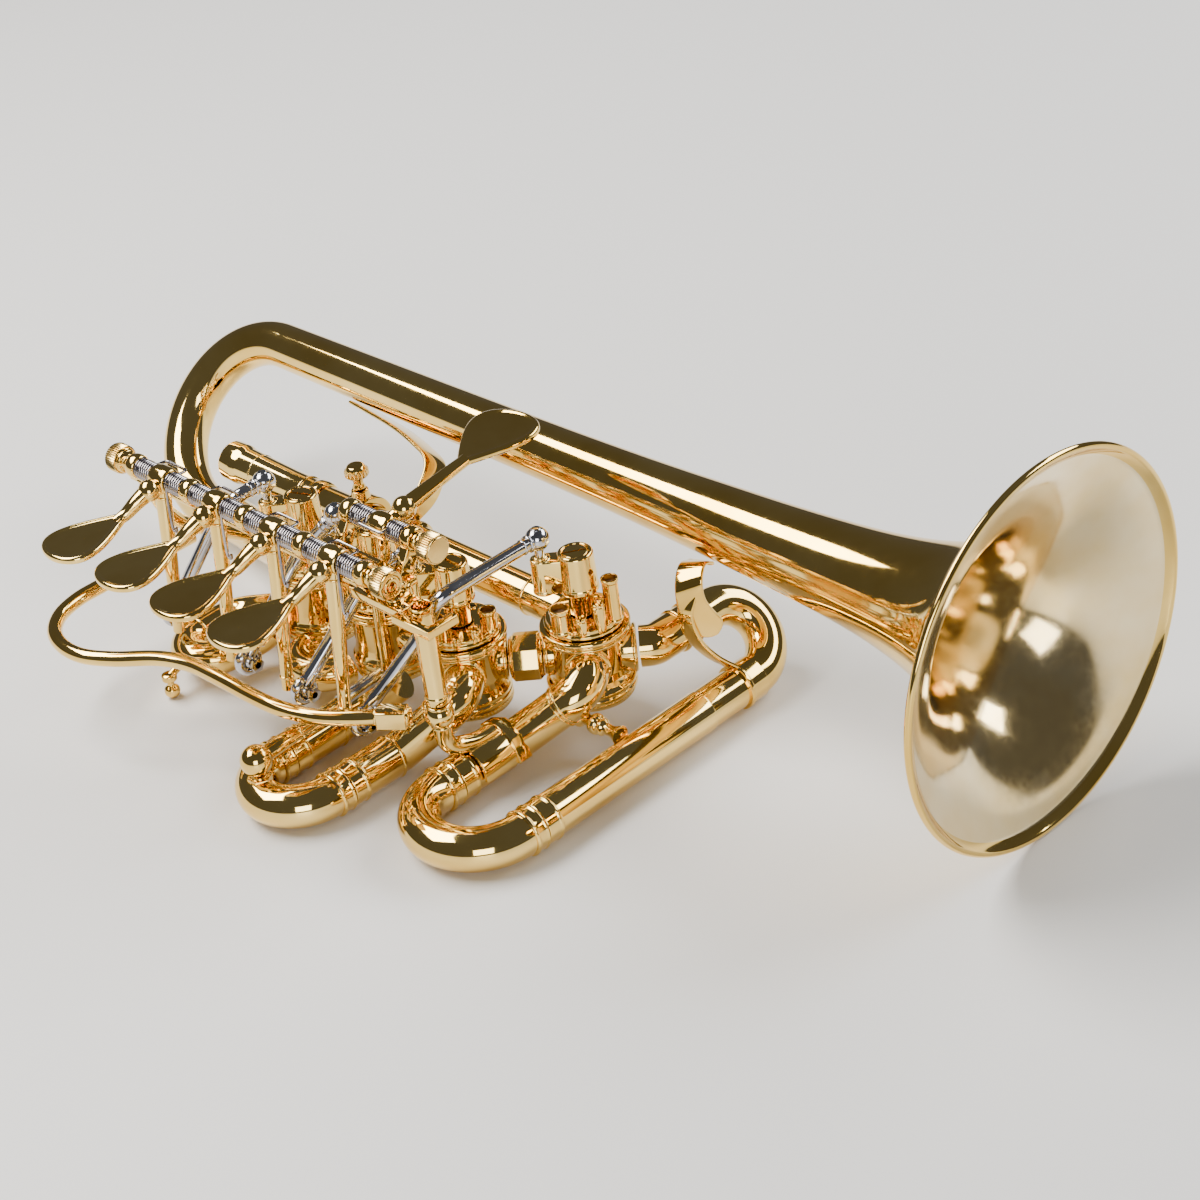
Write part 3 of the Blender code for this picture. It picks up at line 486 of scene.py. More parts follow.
lead_far = (LEAD_NEAR_X - LEAD_LENGTH - GAP, LEAD_Y, LEAD_Z)
receiver = soft([(0, 0), (5.0, 0), (5.4, 1.2), (5.4, 3), (4.8, 4.2), (4.7, 14), (4.9, 24), (5.2, 34),
                 (5.7, 36.0), (5.7, 40.5), (4.5, 40.5), (3.6, 8), (0, 8)], 0.35)
show("mouthpiece_receiver", lathe(receiver, lead_far, (-1, 0, 0)),
     bead(lead_far, (-1, 0, 0), 4.75, 0.5, 7.5), bead(lead_far, (-1, 0, 0), 4.85, 0.45, 28.0))


def ring(origin, direction, inner, outer, half, edge=0.35):
    """Plain collar reaching half each way along direction."""
    profile = soft([(inner, half), (outer, half), (outer, -half), (inner, -half)], edge, closed=True)
    return lathe(profile, origin, direction, 48, closed=True)


clamp_boss = lathe(soft([(1.5, 4.6), (1.5, 9.4), (2.3, 9.4), (2.7, 6.4), (2.7, 4.6)], 0.2, closed=True),
                   (CLAMP_X, LEAD_Y, LEAD_Z), (0, 0, 1), 32, closed=True)
show("leadpipe_clamp", ring((CLAMP_X, LEAD_Y, LEAD_Z), (1, 0, 0), LEAD_R + GAP, LEAD_R + 2.3, 3.2),
     clamp_boss)
screw_base = (CLAMP_X, LEAD_Y, LEAD_Z + 5.4)
show("clamp_thumbscrew",
     lathe(soft([(0, 0), (1.15, 0), (1.15, 4.4), (1.9, 4.7), (1.3, 6.0), (1.5, 7.4), (2.9, 8.2), (2.9, 10.4),
                 (2.2, 11.4), (0, 11.4)], 0.3), screw_base, (0, 0, 1), 32),
     (knurl(screw_base, (0, 0, 1), 3.3, 0.35, 8.3, 10.3, 22), "satin"))

# ---------------------------------------------------------------- rotary valves
PITCH, PORT_ROOT, DIAGONAL_REACH = 28.5, 8.9, 1.8
HALF_PITCH = PITCH / 2 - PORT_ROOT - GAP / 2
DIAGONAL = math.degrees(math.atan2(21.0, 22.0))
# per valve: heading in degrees, reach beyond the root, radius and height of each port
PORTS = (
    ((160, 4.5, TUBE_R + 0.4, PORT_Z), (0, HALF_PITCH, 5.0, PORT_Z)),
    ((180, HALF_PITCH, 5.0, PORT_Z), (0, HALF_PITCH, 5.0, PORT_Z)),
    ((180, HALF_PITCH, 5.0, PORT_Z), (DIAGONAL, DIAGONAL_REACH, 5.2, PORT_Z), (-45, 1.7, 5.6, ELBOW_Z)),
    ((180 + DIAGONAL, DIAGONAL_REACH, 5.2, PORT_Z), (45, 3.2, 5.9, PORT_Z), (-45, 1.7, 5.6, ELBOW_Z)),
)
SLOT_TURN = (20, 70, 0, 55)     # heading in degrees of the slot on each hub's screw
STOP_RING = 8.2                 # distance of the bumper cups and pegs from the spindle


def heading(degrees):
    """Level unit vector, counted from the direction of the bell's mouth."""
    return Vector((math.cos(math.radians(degrees)), math.sin(math.radians(degrees)), 0))


def casing(index):
    """Barrel with turned mouldings, and the ferrules of its ports."""
    x, y = VALVES[index]
    top, low = CASING_TOP, CASING_BOTTOM
    foot = 11.3 if index == 3 else 10.6
    profile = [(8.2, low), (8.2, top), (11.0, top), (11.3, top - 0.5), (11.3, top - 1.1), (10.6, top - 1.4),
               (10.6, top - 1.7), (11.1, top - 2.0), (11.1, top - 2.5), (10.2, top - 3.0),
               (CASING_R, top - 3.8), (CASING_R, low + 6.4), (9.6, low + 4.6), (10.1, low + 3.3),
               (foot, low + 2.6), (foot, low + 1.7), (foot - 0.4, low + 1.4), (foot, low + 1.0), (foot, low)]
    shapes = [lathe(soft(profile, 0.22, closed=True), (x, y, 0), (0, 0, 1), 72, closed=True)]
    for degrees, reach, radius, height in PORTS[index]:
        way = heading(degrees)
        start = Vector((x, y, height)) + way * 8.0
        shapes.append(rod(start, start + way * (reach + 0.9), radius, edge=0.3, seg=40))
        if reach > 1.6:
            shapes.append(bead(start, way, radius - 0.1, 0.5, reach + 0.3))
    return shapes


def stop_plate(index):
    """Top bearing plate with two bumper cups and their corks, two pegs and a screw."""
    x, y = VALVES[index]
    top = CASING_TOP + GAP
    profile = [(3.3, top), (9.9, top), (9.9, top + 0.9), (9.3, top + 1.1), (9.3, top + 2.1), (3.3, top + 2.1)]
    shapes = [lathe(soft(profile, 0.2, closed=True), (x, y, 0), (0, 0, 1), 64, closed=True)]
    low, mid, tall = (4.5, 7.5, 12.0) if index == 3 else (2.0, 3.4, 6.0)
    for degrees, height, radius in ((-84, 6.6, 2.6), (22, tall, 2.2)):
        foot = Vector((x, y, top + 1.2)) + heading(degrees) * STOP_RING
        wall = [(radius - 0.5, 0), (radius - 0.5, height), (radius, height), (radius, height - 0.9),
                (radius - 0.2, height - 1.2), (radius - 0.2, 0.9), (radius, 0.5), (radius, 0)]
        shapes.append(lathe(soft(wall, 0.12, closed=True), foot, (0, 0, 1), 32, closed=True))
        pad = rod(foot, foot + Vector((0, 0, height - 1.6)), radius - 0.49, edge=0.15, seg=24)
        shapes.append((pad, "cork"))
    for degrees, height, radius in ((-46, low, 1.5), (-14, mid, 1.6)):
        foot = Vector((x, y, top + 1.2)) + heading(degrees) * STOP_RING
        shapes.append(rod(foot, foot + Vector((0, 0, height - 0.8)), radius, edge=0.2, seg=28))
        shapes.append(slotted_screw(foot + Vector((0, 0, height - 0.9)), radius - 0.15, 0.9, degrees))
    shapes.append(slotted_screw(Vector((x, y, top + 1.6)) + heading(115) * 7.2, 1.5, 0.9, 20))
    return shapes


def slotted_screw(foot, radius, height, turn_degrees):
    """Cheese-head screw standing on foot, its slot cut across the top."""
    head = lathe(soft([(0, 0), (radius, 0), (radius, height), (0, height)], 0.2), foot, (0, 0, 1), 32)
    spin = Matrix.Rotation(math.radians(turn_degrees), 4, "Z")
    slot = block((-radius - 1, -radius * 0.16, -0.4), (radius + 1, radius * 0.16, 0.4), 0, spin)
    return carved(head, placed(slot, Matrix.Translation(Vector(foot) + Vector((0, 0, height)))))


def rotor(index):
    """Rotor, spindle, tapered hub with its slotted cap screw, and the stop arm."""
    x, y = VALVES[index]
    profile = [(0, -37.0), (7.85, -37.0), (7.85, -21.4), (2.9, -21.2), (2.9, -17.4), (3.2, -17.0),
               (3.2, -11.2), (4.6, -10.9), (4.9, -10.4), (4.9, -9.4), (4.7, -9.1), (4.45, -0.5), (4.1, 0.0),
               (3.4, 0.0), (3.3, -0.5), (0, -0.5)]
    hub = lathe(soft(profile, 0.2), (x, y, 0), (0, 0, 1), 72)
    screw = lathe(soft([(0, -0.6), (3.15, -0.6), (3.15, -0.1), (0, -0.1)], 0.2), (x, y, 0), (0, 0, 1), 48)
    half = 0.5 if index == 2 else 0.28
    spin = Matrix.Translation((x, y, -0.1)) @ Matrix.Rotation(math.radians(SLOT_TURN[index]), 4, "Z")
    screw = carved(screw, placed(block((-3.4, -half, -0.75), (3.4, half, 0.5), 0), spin))
    # dark sheet at the bottom of the screw's slot: painted shade
    slot_shade = placed(block((-3.0, -half + 0.02, -0.56), (3.0, half - 0.02, -0.46), 0), spin)
    ax, ay = x - ARM_OUT, y - ARM_OUT
    column = lathe(soft([(0, -10.6), (2.8, -10.6), (2.8, -9.8), (2.65, -9.5), (2.6, -1.3), (2.3, -1.0),
                         (0, -1.0)], 0.25), (ax, ay, 0), (0, 0, 1), 40)
    turn = Matrix.Translation((x, y, 0)) @ Matrix.Rotation(math.radians(45), 4, "Z")
    web = placed(block((-8.4, -2.55, -10.3), (-0.5, 2.55, -1.2), 0.4), turn)
    stud = rod((ax, ay, -2.0), (ax, ay, BALL_Z + 0.5), 1.2, edge=0.2, seg=20)
    washer = bead((ax, ay, -0.9), (0, 0, 1), 1.5, 0.45)
    return [hub, screw, (slot_shade, "shade"), column, web, (stud, "steel"), washer]


def cap(index):
    """Bottom cap with a knurled edge."""
    x, y = VALVES[index]
    top = CASING_BOTTOM - GAP
    profile = [(0, top), (10.0, top), (10.3, top - 0.3), (10.3, top - 1.5), (9.6, top - 2.0),
               (6.0, top - 2.3), (5.4, top - 2.0), (0, top - 2.0)]
    return [lathe(soft(profile, 0.25), (x, y, 0), (0, 0, 1), 64),
            (knurl((x, y, 0), (0, 0, 1), 10.6, 0.3, top - 1.6, top - 0.2, 72), "satin")]


for number in range(4):
    tag = str(number + 1)
    show("valve_casing_" + tag, *casing(number))
    show("stop_plate_" + tag, *stop_plate(number))
    show("valve_rotor_" + tag, *rotor(number))
    show("valve_cap_" + tag, *cap(number))

third, fourth = Vector((*VALVES[2], PORT_Z)), Vector((*VALVES[3], PORT_Z))
step = (fourth - third).normalized()
knuckle_start = PORT_ROOT + DIAGONAL_REACH + GAP
knuckle = lathe(soft([(0, 0), (5.0, 0), (6.2, 1.0), (6.2, 7.4), (5.0, 8.415), (0, 8.415)], 0.3),
                third + step * knuckle_start, step, 8)
show("valve_knuckle", knuckle,
     bead(third, step, 4.9, 0.45, knuckle_start + 0.5), bead(third, step, 4.9, 0.45, 19.0))

loop2_ends = ((-174.8, -62.2, -38.4), (-189.2, -62.2, -38.4))
show("slide_2_crook", tube(half_turn(*loop2_ends, (0, -1, 0)), 4.6, 40),
     *[bead(end, (0, -1, 0), 4.4, 0.5, 0.8) for end in loop2_ends])


# ---------------------------------------------------------------- slide loops
def sleeve(x, y_from, y_to, inner, outer):
    """Outer slide tube along Y, open towards y_from, with its end bead."""
    length = abs(y_to - y_from)
    way = 1 if y_to > y_from else -1
    profile = [(inner, 0.2), (inner, length), (outer - 0.2, length), (outer, length - 0.3), (outer, 4.6),
               (outer + 0.4, 4.3), (outer + 0.4, 3.7), (outer + 0.1, 3.4), (outer + 0.1, 0.3),
               (outer - 0.1, 0.1)]
    return lathe(soft(profile, 0.15, closed=True), (x, y_from, SLIDE_Z), (0, way, 0), 56, closed=True)


def elbow_path(valve, x, y_sleeve, y_bend):
    """Line of a slide leg that climbs aslant and turns into a valve's front port.

    Also returns where the elbow starts, and the direction there.
    """
    out = Vector((1, -1, 0)).normalized()
    corner = Vector((*VALVES[valve], ELBOW_Z)) + out * 17.5
    start, low = Vector((x, y_sleeve, SLIDE_Z)), Vector((x, y_bend, SLIDE_Z))
    rise = (corner - low).normalized()
    turn = rise.angle(-out)
    reach, steps = 6.2, 24
    radius = reach / math.tan(turn / 2)
    inward = (rise * rise.dot(out) - out).normalized()
    first = corner - rise * reach
    arc = []
    for k in range(steps + 1):
        angle = turn * k / steps
        arc.append(first + inward * radius * (1 - math.cos(angle)) + rise * radius * math.sin(angle))
    return rounded_path([start, low, first], 6, 10)[:-1] + arc + [corner - out * 7.2], first, rise


inner4_path, bend4, rise4 = elbow_path(3, LOOP4_IN_X, -60.0, -57.0)
show("slide_4_inner_tube", tube(inner4_path, SLIDE_R - 0.3, 56),
     sleeve(LOOP4_IN_X, LOOP4_FERRULE_Y, -59.5, 4.75, SLIDE_R),
     bead(bend4, rise4, SLIDE_R - 0.15, 0.3, -2.2), bead(bend4, rise4, SLIDE_R - 0.15, 0.3, -1.2))

# band where the bow of the fourth loop meets its tube
JOINT_BAND = ((SLIDE_R - 0.5, 0.0), (SLIDE_R + 0.4, 0.0), (SLIDE_R + 0.5, 0.4), (SLIDE_R + 0.5, 1.2),
              (SLIDE_R + 0.15, 1.5), (SLIDE_R + 0.15, 6.2), (SLIDE_R - 0.5, 6.4))
outer4_start = rounded_path([(-109.0, -21.0, PORT_Z), (-106.6, -18.6, PORT_Z), (-106.4, 0.5, PORT_Z)], 5, 12)
outer4_path = (outer4_start[:-1] + half_turn((-106.4, 1.0, PORT_Z), (LOOP4_OUT_X, -1.0, SLIDE_Z), (0, 1, 0))
               + [Vector((LOOP4_OUT_X, -20.0, SLIDE_Z))])
show("slide_4_outer_tube", tube(outer4_path, SLIDE_R - 0.25, 48),
     sleeve(LOOP4_OUT_X, LOOP4_FERRULE_Y, -19.5, 4.75, SLIDE_R),
     lathe(soft(JOINT_BAND, 0.12, closed=True), (LOOP4_OUT_X, -7.5, SLIDE_Z), (0, 1, 0), 56, closed=True),
     bead((-106.4, -7.0, PORT_Z), (0, 1, 0), SLIDE_R - 0.1, 0.5),
     bead((-106.4, -11.0, PORT_Z), (0, 1, 0), SLIDE_R - 0.1, 0.5))


def crook(x_a, x_b, y, stub, radius, bend_r):
    """U-bend with lipped ferrules and the thinner legs inside the slides."""
    mouths = [Vector((x, y - GAP, SLIDE_Z)) for x in (x_a, x_b)]
    back = Vector((0, 3.5, 0))
    path = [mouths[0]] + half_turn(mouths[0] - back, mouths[1] - back, (0, -1, 0)) + [mouths[1]]
    shapes = [tube(path, bend_r - 0.1, 56)]
    collar = [(bend_r - 0.6, 0.0), (bend_r + 0.4, 0.0), (bend_r + 0.5, 0.3), (bend_r + 0.2, 0.7),
              (bend_r + 0.2, 2.7), (bend_r + 0.5, 3.0), (bend_r + 0.5, 3.4), (bend_r + 0.2, 3.7),
              (bend_r - 0.6, 3.8)]
    for mouth in mouths:
        shapes.append(lathe(soft(collar, 0.15, closed=True), mouth, (0, -1, 0), 56, closed=True))
        shapes.append(rod(mouth - Vector((0, 1, 0)), mouth + Vector((0, stub, 0)), radius, edge=0.2, seg=40))
    return shapes


show("slide_4_crook", *crook(LOOP4_IN_X, LOOP4_OUT_X, LOOP4_FERRULE_Y, 16.0, 4.35, 5.5))
push_post = [rod((TRIG_ROD_X, KNOB_Y, SLIDE_Z + 2), (TRIG_ROD_X, KNOB_Y, KNOB_Z - 4.2), 1.9),
             lathe(soft([(0, -40.0), (3.0, -40.0), (3.0, -36.4), (0, -36.4)], 0.2), (TRIG_ROD_X, KNOB_Y, 0),
                   (0, 0, 1), 6)]
show("slide_3_crook", *crook(LOOP3_IN_X, LOOP3_OUT_X, LOOP3_FERRULE_Y, 14.0, 4.25, 5.4), *push_post)

baluster = soft([(0, 0), (2.6, 0), (2.6, 1.6), (1.5, 2.6), (1.4, 4.2), (1.8, 4.8), (2.5, 5.4), (2.7, 6.4),
                 (2.5, 7.4), (1.8, 7.9), (2.2, 8.4), (2.2, 9.0), (1.5, 9.8), (1.4, 11.4), (1.7, 12.6),
                 (2.6, 14.6), (0, 14.6)], 0.35)
show("slide_4_brace", lathe(baluster, (-109.4, -43.4, -37.0), (1, 0, 0), 40))

right3_path, bend3, rise3 = elbow_path(2, LOOP3_IN_X, -78.0, -75.5)
show("slide_3_inner_tube", tube(right3_path, SLIDE_R - 0.35, 56),
     sleeve(LOOP3_IN_X, LOOP3_FERRULE_Y, -77.5, 4.65, SLIDE_R - 0.1),
     bead(bend3, rise3, SLIDE_R - 0.2, 0.3, -2.2), bead(bend3, rise3, SLIDE_R - 0.2, 0.3, -1.2),
     bead((LOOP3_IN_X, -78.4, SLIDE_Z), (0, 1, 0), SLIDE_R - 0.1, 0.45))
left3_path = rounded_path([(LOOP3_OUT_X, -78.0, SLIDE_Z), (LOOP3_OUT_X, -66.5, SLIDE_Z),
                           (LOOP3_OUT_X + 7.0, -61.4, SLIDE_Z + 7.0)], 7, 12)
show("slide_3_outer_tube", tube(left3_path, SLIDE_R - 0.3, 48),
     sleeve(LOOP3_OUT_X, LOOP3_FERRULE_Y, -77.5, 4.65, SLIDE_R - 0.1),
     bead((LOOP3_OUT_X, -78.4, SLIDE_Z), (0, 1, 0), SLIDE_R - 0.1, 0.45))

loop1 = half_turn((-207.5, -74.5, -39.8), (-221.5, -74.5, -39.8), (0, -1, 0))
loop1_in = smooth([(-202.2, -63.8, -35.4), (-204.5, -66.0, -37.8), (-206.6, -70.0, -39.5), loop1[0]], 6)
loop1_out = smooth([loop1[-1], (-221.5, -66.0, -39.8), (-219.0, -61.0, -39.4), (-213.0, -57.9, -38.0),
                    (-209.0, -56.2, -37.0)], 6)
loop1_path = loop1_in[:-1] + loop1[:-1] + loop1_out
show("slide_1_crook", tube(loop1_path, 4.6, 44), bead((-207.5, -74.0, -39.8), (0, 1, 0), 4.5, 0.5),
     bead((-221.5, -74.0, -39.8), (0, 1, 0), 4.5, 0.5))

FOOT = (-214.5, -90.0)
foot_turned = soft([(0, -48.0), (1.2, -47.7), (2.0, -46.7), (2.1, -45.9), (1.9, -44.9), (0.9, -44.1),
                    (0.9, -43.0), (2.0, -42.5), (2.0, -40.9), (1.2, -40.6), (0, -40.6)], 0.3)
show("rest_foot", lathe(foot_turned, (*FOOT, 0), (0, 0, 1), 32),
     rod((*FOOT, -41.8), (FOOT[0], -86.8, -40.4), 1.1, seg=20))

# ---------------------------------------------------------------- finger hook
# a leaf with a round free end, and a narrower tail that runs down to the slide
LEAF_W = 7.4
HOOK_ACROSS = (1.0, 0.25, 0.1)
leaf = smooth([(-100.5, -5.5, -9.6), (-99.2, -9.8, -7.9), (-97.0, -13.6, -10.2), (-96.2, -14.2, -15.5),
               (-94.9, -12.2, -20.8), (-93.0, -9.8, -25.2)], 14)
leaf_widths = []
for point in leaf:
    from_tip = min((point - leaf[-1]).length, LEAF_W / 2)
    leaf_widths.append(max(1.2, 2 * math.sqrt(from_tip * (LEAF_W - from_tip))))
tail = smooth([(-96.9, -13.4, -12.6), (-97.2, -15.8, -18.5), (-95.9, -14.8, -25.4), (-93.8, -11.6, -31.2),
               (-91.8, -7.5, -35.6)], 10)
show("finger_hook", strap(leaf, HOOK_ACROSS, leaf_widths, 1.0, (0.35, 0.7, 0.45)),
     strap(tail, HOOK_ACROSS, 4.4, 1.0))


# ---------------------------------------------------------------- frame for the levers
def bearing(x, y, z):
    """Barrel-shaped collar round an axle."""
    profile = [(AXLE_R + GAP, -1.7), (2.7, -1.7), (3.1, -1.2), (3.3, 0.0), (3.1, 1.2), (2.7, 1.7),
               (AXLE_R + GAP, 1.7)]
    return lathe(soft(profile, 0.7, 5, closed=True), (x, y, z), (1, 0, 0), 40, closed=True)


def lever_frame():
    """Scalloped bar under the main axle, its bearings and the trigger bracket."""
    edge = [(-236.0, 3.2), (-138.0, 3.2), (-138.0, 5.7)]
    for left, right in reversed(list(zip(COLLAR_X, COLLAR_X[1:]))):
        for k in range(13):
            share = k / 12
            x = right - 2.6 + (left - right + 5.2) * share
            edge.append((x, 5.7 - 1.3 * math.sin(math.pi * share) ** 0.5))
    edge.append((-236.0, 5.7))
    upright = Matrix.Translation((0, -73.7, 0)) @ Matrix.Rotation(math.radians(90), 4, "X")
    shapes = [slab(edge, 3.0, upright, 0.35)]
    corner = [(-143.0, -78.6), (-126.4, -78.6), (-126.4, -80.6), (-113.6, -80.6), (-113.6, -71.2),
              (-115.8, -71.2), (-115.8, -78.4), (-125.6, -78.4), (-125.6, -71.2), (-143.0, -71.2)]
    shapes.append(slab(corner, 2.4, Matrix.Translation((0, 0, 4.2)), 0.3))
    shapes.append(slotted_screw((-131.0, -75.4, 5.3), 2.2, 0.9, 35))
    for x in COLLAR_X:
        shapes.append(bearing(x, AXLE_Y, AXLE_Z))
        shapes.append(block((x - 1.3, -77.4, 4.2), (x + 1.3, -73.2, 11.0), 0.4))
    shapes.append(block((-163.0, -72.6, 6.2), (-130.5, -68.2, 8.2), 0.35))
    shapes.append(block((-141.5, -76.0, 4.0), (-130.8, -70.6, 7.6), 0.4))
    lean = Matrix.Rotation(math.radians(-32), 4, "X")
    for x in TRIG_COLLARS:
        shapes.append(bearing(x, TRIG_Y, TRIG_Z))
        arm = block((x - 1.4, -69.6, 7.0), (x + 1.4, -65.4, 15.2), 0.35, lean)
        window = block((x - 4, -68.5, 9.2), (x + 4, -66.5, 12.2), 0, lean)
        shapes.append(carved(arm, window))
        shapes.append(slotted_screw((x, -70.6, 8.1), 1.4, 0.7, 70))
    strut = rounded_path([(-232.0, -73.7, 4.5), (-232.0, -68.0, -12.0), (-232.0, -45.6, -27.7)], 8, 10)
    shapes.append(tube(strut, 1.9))
    shapes.append(bead((-232.0, -46.6, -27.0), (0, 0.82, -0.57), 1.9, 0.8))
    return shapes


show("lever_frame", *lever_frame())


def knob(x, y, z, way, ringed):
    """Round nut: necked collar, knurled band, and a ringed or a plain satin face."""
    place, line = (x, y, z), (way, 0, 0)
    profile = [(0, 0), (2.3, 0), (2.3, 0.7), (1.9, 1.0), (1.9, 1.5), (2.9, 1.9), (3.1, 2.3), (2.9, 2.8),
               (3.2, 3.1), (3.2, 7.0), (0, 7.0)]
    shapes = [lathe(soft(profile, 0.15), place, line, 48),
              (knurl(place, line, 3.8, 0.3, 3.2, 7.0, 40), "satin")]
    if ringed:
        face = [(0, 6.9), (3.4, 6.9), (3.3, 7.35), (2.7, 7.45), (2.45, 7.28), (2.05, 7.28), (1.8, 7.5),
                (1.1, 7.5), (0.85, 7.32), (0, 7.3)]
        shapes.append(lathe(soft(face, 0.1), place, line, 48))
    else:
        face = [(0, 6.9), (3.3, 6.9), (3.3, 7.2), (3.1, 7.4), (0, 7.4)]
        shapes.append((lathe(soft(face, 0.1), place, line, 48), "satin"))
    return shapes


left_end, right_end = COLLAR_X[0] - 2.0, COLLAR_X[-1] + 2.0
show("main_axle", *knob(left_end, AXLE_Y, AXLE_Z, -1, False),
     (rod((left_end - 1.0, AXLE_Y, AXLE_Z), (right_end - GAP, AXLE_Y, AXLE_Z), AXLE_R), "steel"))
show("main_axle_nut", *knob(right_end, AXLE_Y, AXLE_Z, 1, True))
trig_left, trig_right = TRIG_COLLARS[0] - 2.0, TRIG_COLLARS[1] + 2.0
show("trigger_axle", (rod((trig_left, TRIG_Y, TRIG_Z), (trig_right - GAP, TRIG_Y, TRIG_Z), AXLE_R), "steel"))
show("trigger_axle_nut", *knob(trig_right, TRIG_Y, TRIG_Z, 1, False))


# ---------------------------------------------------------------- levers
def teardrop(length, width, inset, samples=64):
    """Paddle outline, narrow at its neck, drawn in by inset all round but at the neck's tip."""
    raw = []
    for k in range(samples):
        t = 2 * math.pi * k / samples
        along = 0.5 - 0.5 * math.cos(t)
        raw.append(Vector((0.71 * width * math.sin(t) * (0.2 + 0.8 * along), along * length)))
    out = []
    for k, p in enumerate(raw):
        tangent = (raw[(k + 1) % samples] - raw[k - 1]).normalized()
        inward = Vector((-tangent.y, tangent.x))
        drawn = p + inward * (inset if p.y > length / 2 else min(inset, abs(p.x) * 0.9 + 0.05))
        out.append((drawn.x, drawn.y))
    return out


def paddle(neck, turn_z, pitch, length, width):
    """Finger plate: rounded rim about a slightly sunk, polished top."""
    place = (Matrix.Translation(neck) @ Matrix.Rotation(math.radians(turn_z), 4, "Z")
             @ Matrix.Rotation(math.radians(pitch), 4, "X"))
    rows = []
    for inset, height in ((1.2, -1.0), (0.5, -0.92), (0.12, -0.62), (0.0, -0.1), (0.05, 0.45), (0.3, 0.84),
                          (0.7, 1.0), (1.1, 0.92), (1.45, 0.72), (2.0, 0.66), (3.4, 0.64)):
        rows.append([place @ Vector((x, y, height)) for x, y in teardrop(length, width, inset)])
    return cleaned(*loft(rows))


def barrel(x, y, z):
    """Hinge barrel with rounded shoulders."""
    profile = [(AXLE_R + GAP, -3.0), (2.9, -3.0), (3.2, -2.6), (3.4, -1.2), (3.4, 1.2), (3.2, 2.6),
               (2.9, 3.0), (AXLE_R + GAP, 3.0)]
    return lathe(soft(profile, 0.25, closed=True), (x, y, z), (1, 0, 0), 44, closed=True)


def lever(index):
    """Finger lever: barrel, ball boss, arm, paddle, long down arm and the stud for its rod."""
    x, side, eye_y = LEVER_X[index], EYE_SIDE[index], EYE_Y[index]
    arm_path = smooth([(x, -83.5, 10.4), (x - 0.8, -87.0, 8.6), (x - 1.8, -90.0, 6.5), (x - 2.3, -93.0, 5.7)])
    last = len(arm_path) - 1
    arm = tube(arm_path, [2.35 - 0.95 * k / last for k in range(last + 1)])
    down_top, down_low = Vector((x, -79.0, 9.8)), Vector((x + 0.3, -83.9, -31.0))
    run = down_low - down_top
    down = rod(down_top, down_low, 2.1, 1.5, 0.3)
    tip = Vector((x + side * (EYE_OFFSET + 4.1), eye_y, EYE_Z))
    shapes = [barrel(x, AXLE_Y, AXLE_Z), rod((x + 0.2, -78.5, 11.2), (x + 0.2, -83.0, 10.6), 1.9),
              ball((x + 0.2, -83.0, 10.6), 2.9), bead((x, -84.6, 9.9), (0, -1, -0.5), 1.7, 0.5), arm,
              paddle((x - 2.1, -89.4, 6.0), 178.0, -2.0, 23.7, 17.2), down,
              bead(down_top, run, 2.05, 0.45, 2.6), bead(down_top, run, 1.55, 0.5, run.length - 3.6),
              rod((x, eye_y, EYE_Z), tip, 1.1, seg=20),
              (lathe(soft([(0, 0), (2.0, 0), (2.0, 1.3), (0, 1.3)], 0.25), tip - Vector((side * 1.3, 0, 0)),
                     (side, 0, 0), 6), "steel")]
    if index == 0:
        shapes.append(rod((x, -83.7, EYE_Z), (x, -79.4, EYE_Z), 1.5))
    return shapes


COIL_PITCH, COIL_R, COIL_WIRE = 0.82, 2.45, 0.34


def coil(start, end, y, z, steps=22):
    """Close-wound spring about an axle between two stations."""
    count = max(3, round(abs(end - start) / COIL_PITCH)) * steps
    path = [(start + (end - start) * k / count, y + COIL_R * math.cos(2 * math.pi * k / steps),
             z + COIL_R * math.sin(2 * math.pi * k / steps)) for k in range(count + 1)]
    return tube(path, COIL_WIRE, 10)


def spring(left, centre, right, y, z, side=1):
    """Coils either side of a barrel, their bridge wire and the hanging hook."""
    near, far = centre - 4.3, centre + 4.3
    bridge = rounded_path([(near, y + side * 1.6, z + 1.8), (near, y + side * 4.4, z + 1.6),
                           (far, y + side * 4.4, z + 1.6), (far, y + side * 1.6, z + 1.8)], 1.2, 6)
    shapes = [coil(left, centre - 3.3, y, z), coil(centre + 3.3, right, y, z), tube(bridge, 0.4, 10)]
    if side > 0:
        hook = smooth([(centre + 4.0, y - 2.4, z), (centre + 4.0, y - 2.8, z - 5.0),
                       (centre + 4.1, y - 3.1, z - 10.5), (centre + 4.6, y - 3.2, z - 12.0),
                       (centre + 5.6, y - 3.2, z - 12.0), (centre + 5.9, y - 3.2, z - 10.8)], 6)
        shapes.append(tube(hook, 0.38, 10))
    return shapes


for number in range(4):
    tag = str(number + 1)
    show("lever_" + tag, *lever(number))
    show("lever_spring_" + tag,
         *spring(COLLAR_X[number] + 2.0, LEVER_X[number], COLLAR_X[number + 1] - 2.0, AXLE_Y, AXLE_Z),
         slot="spring")


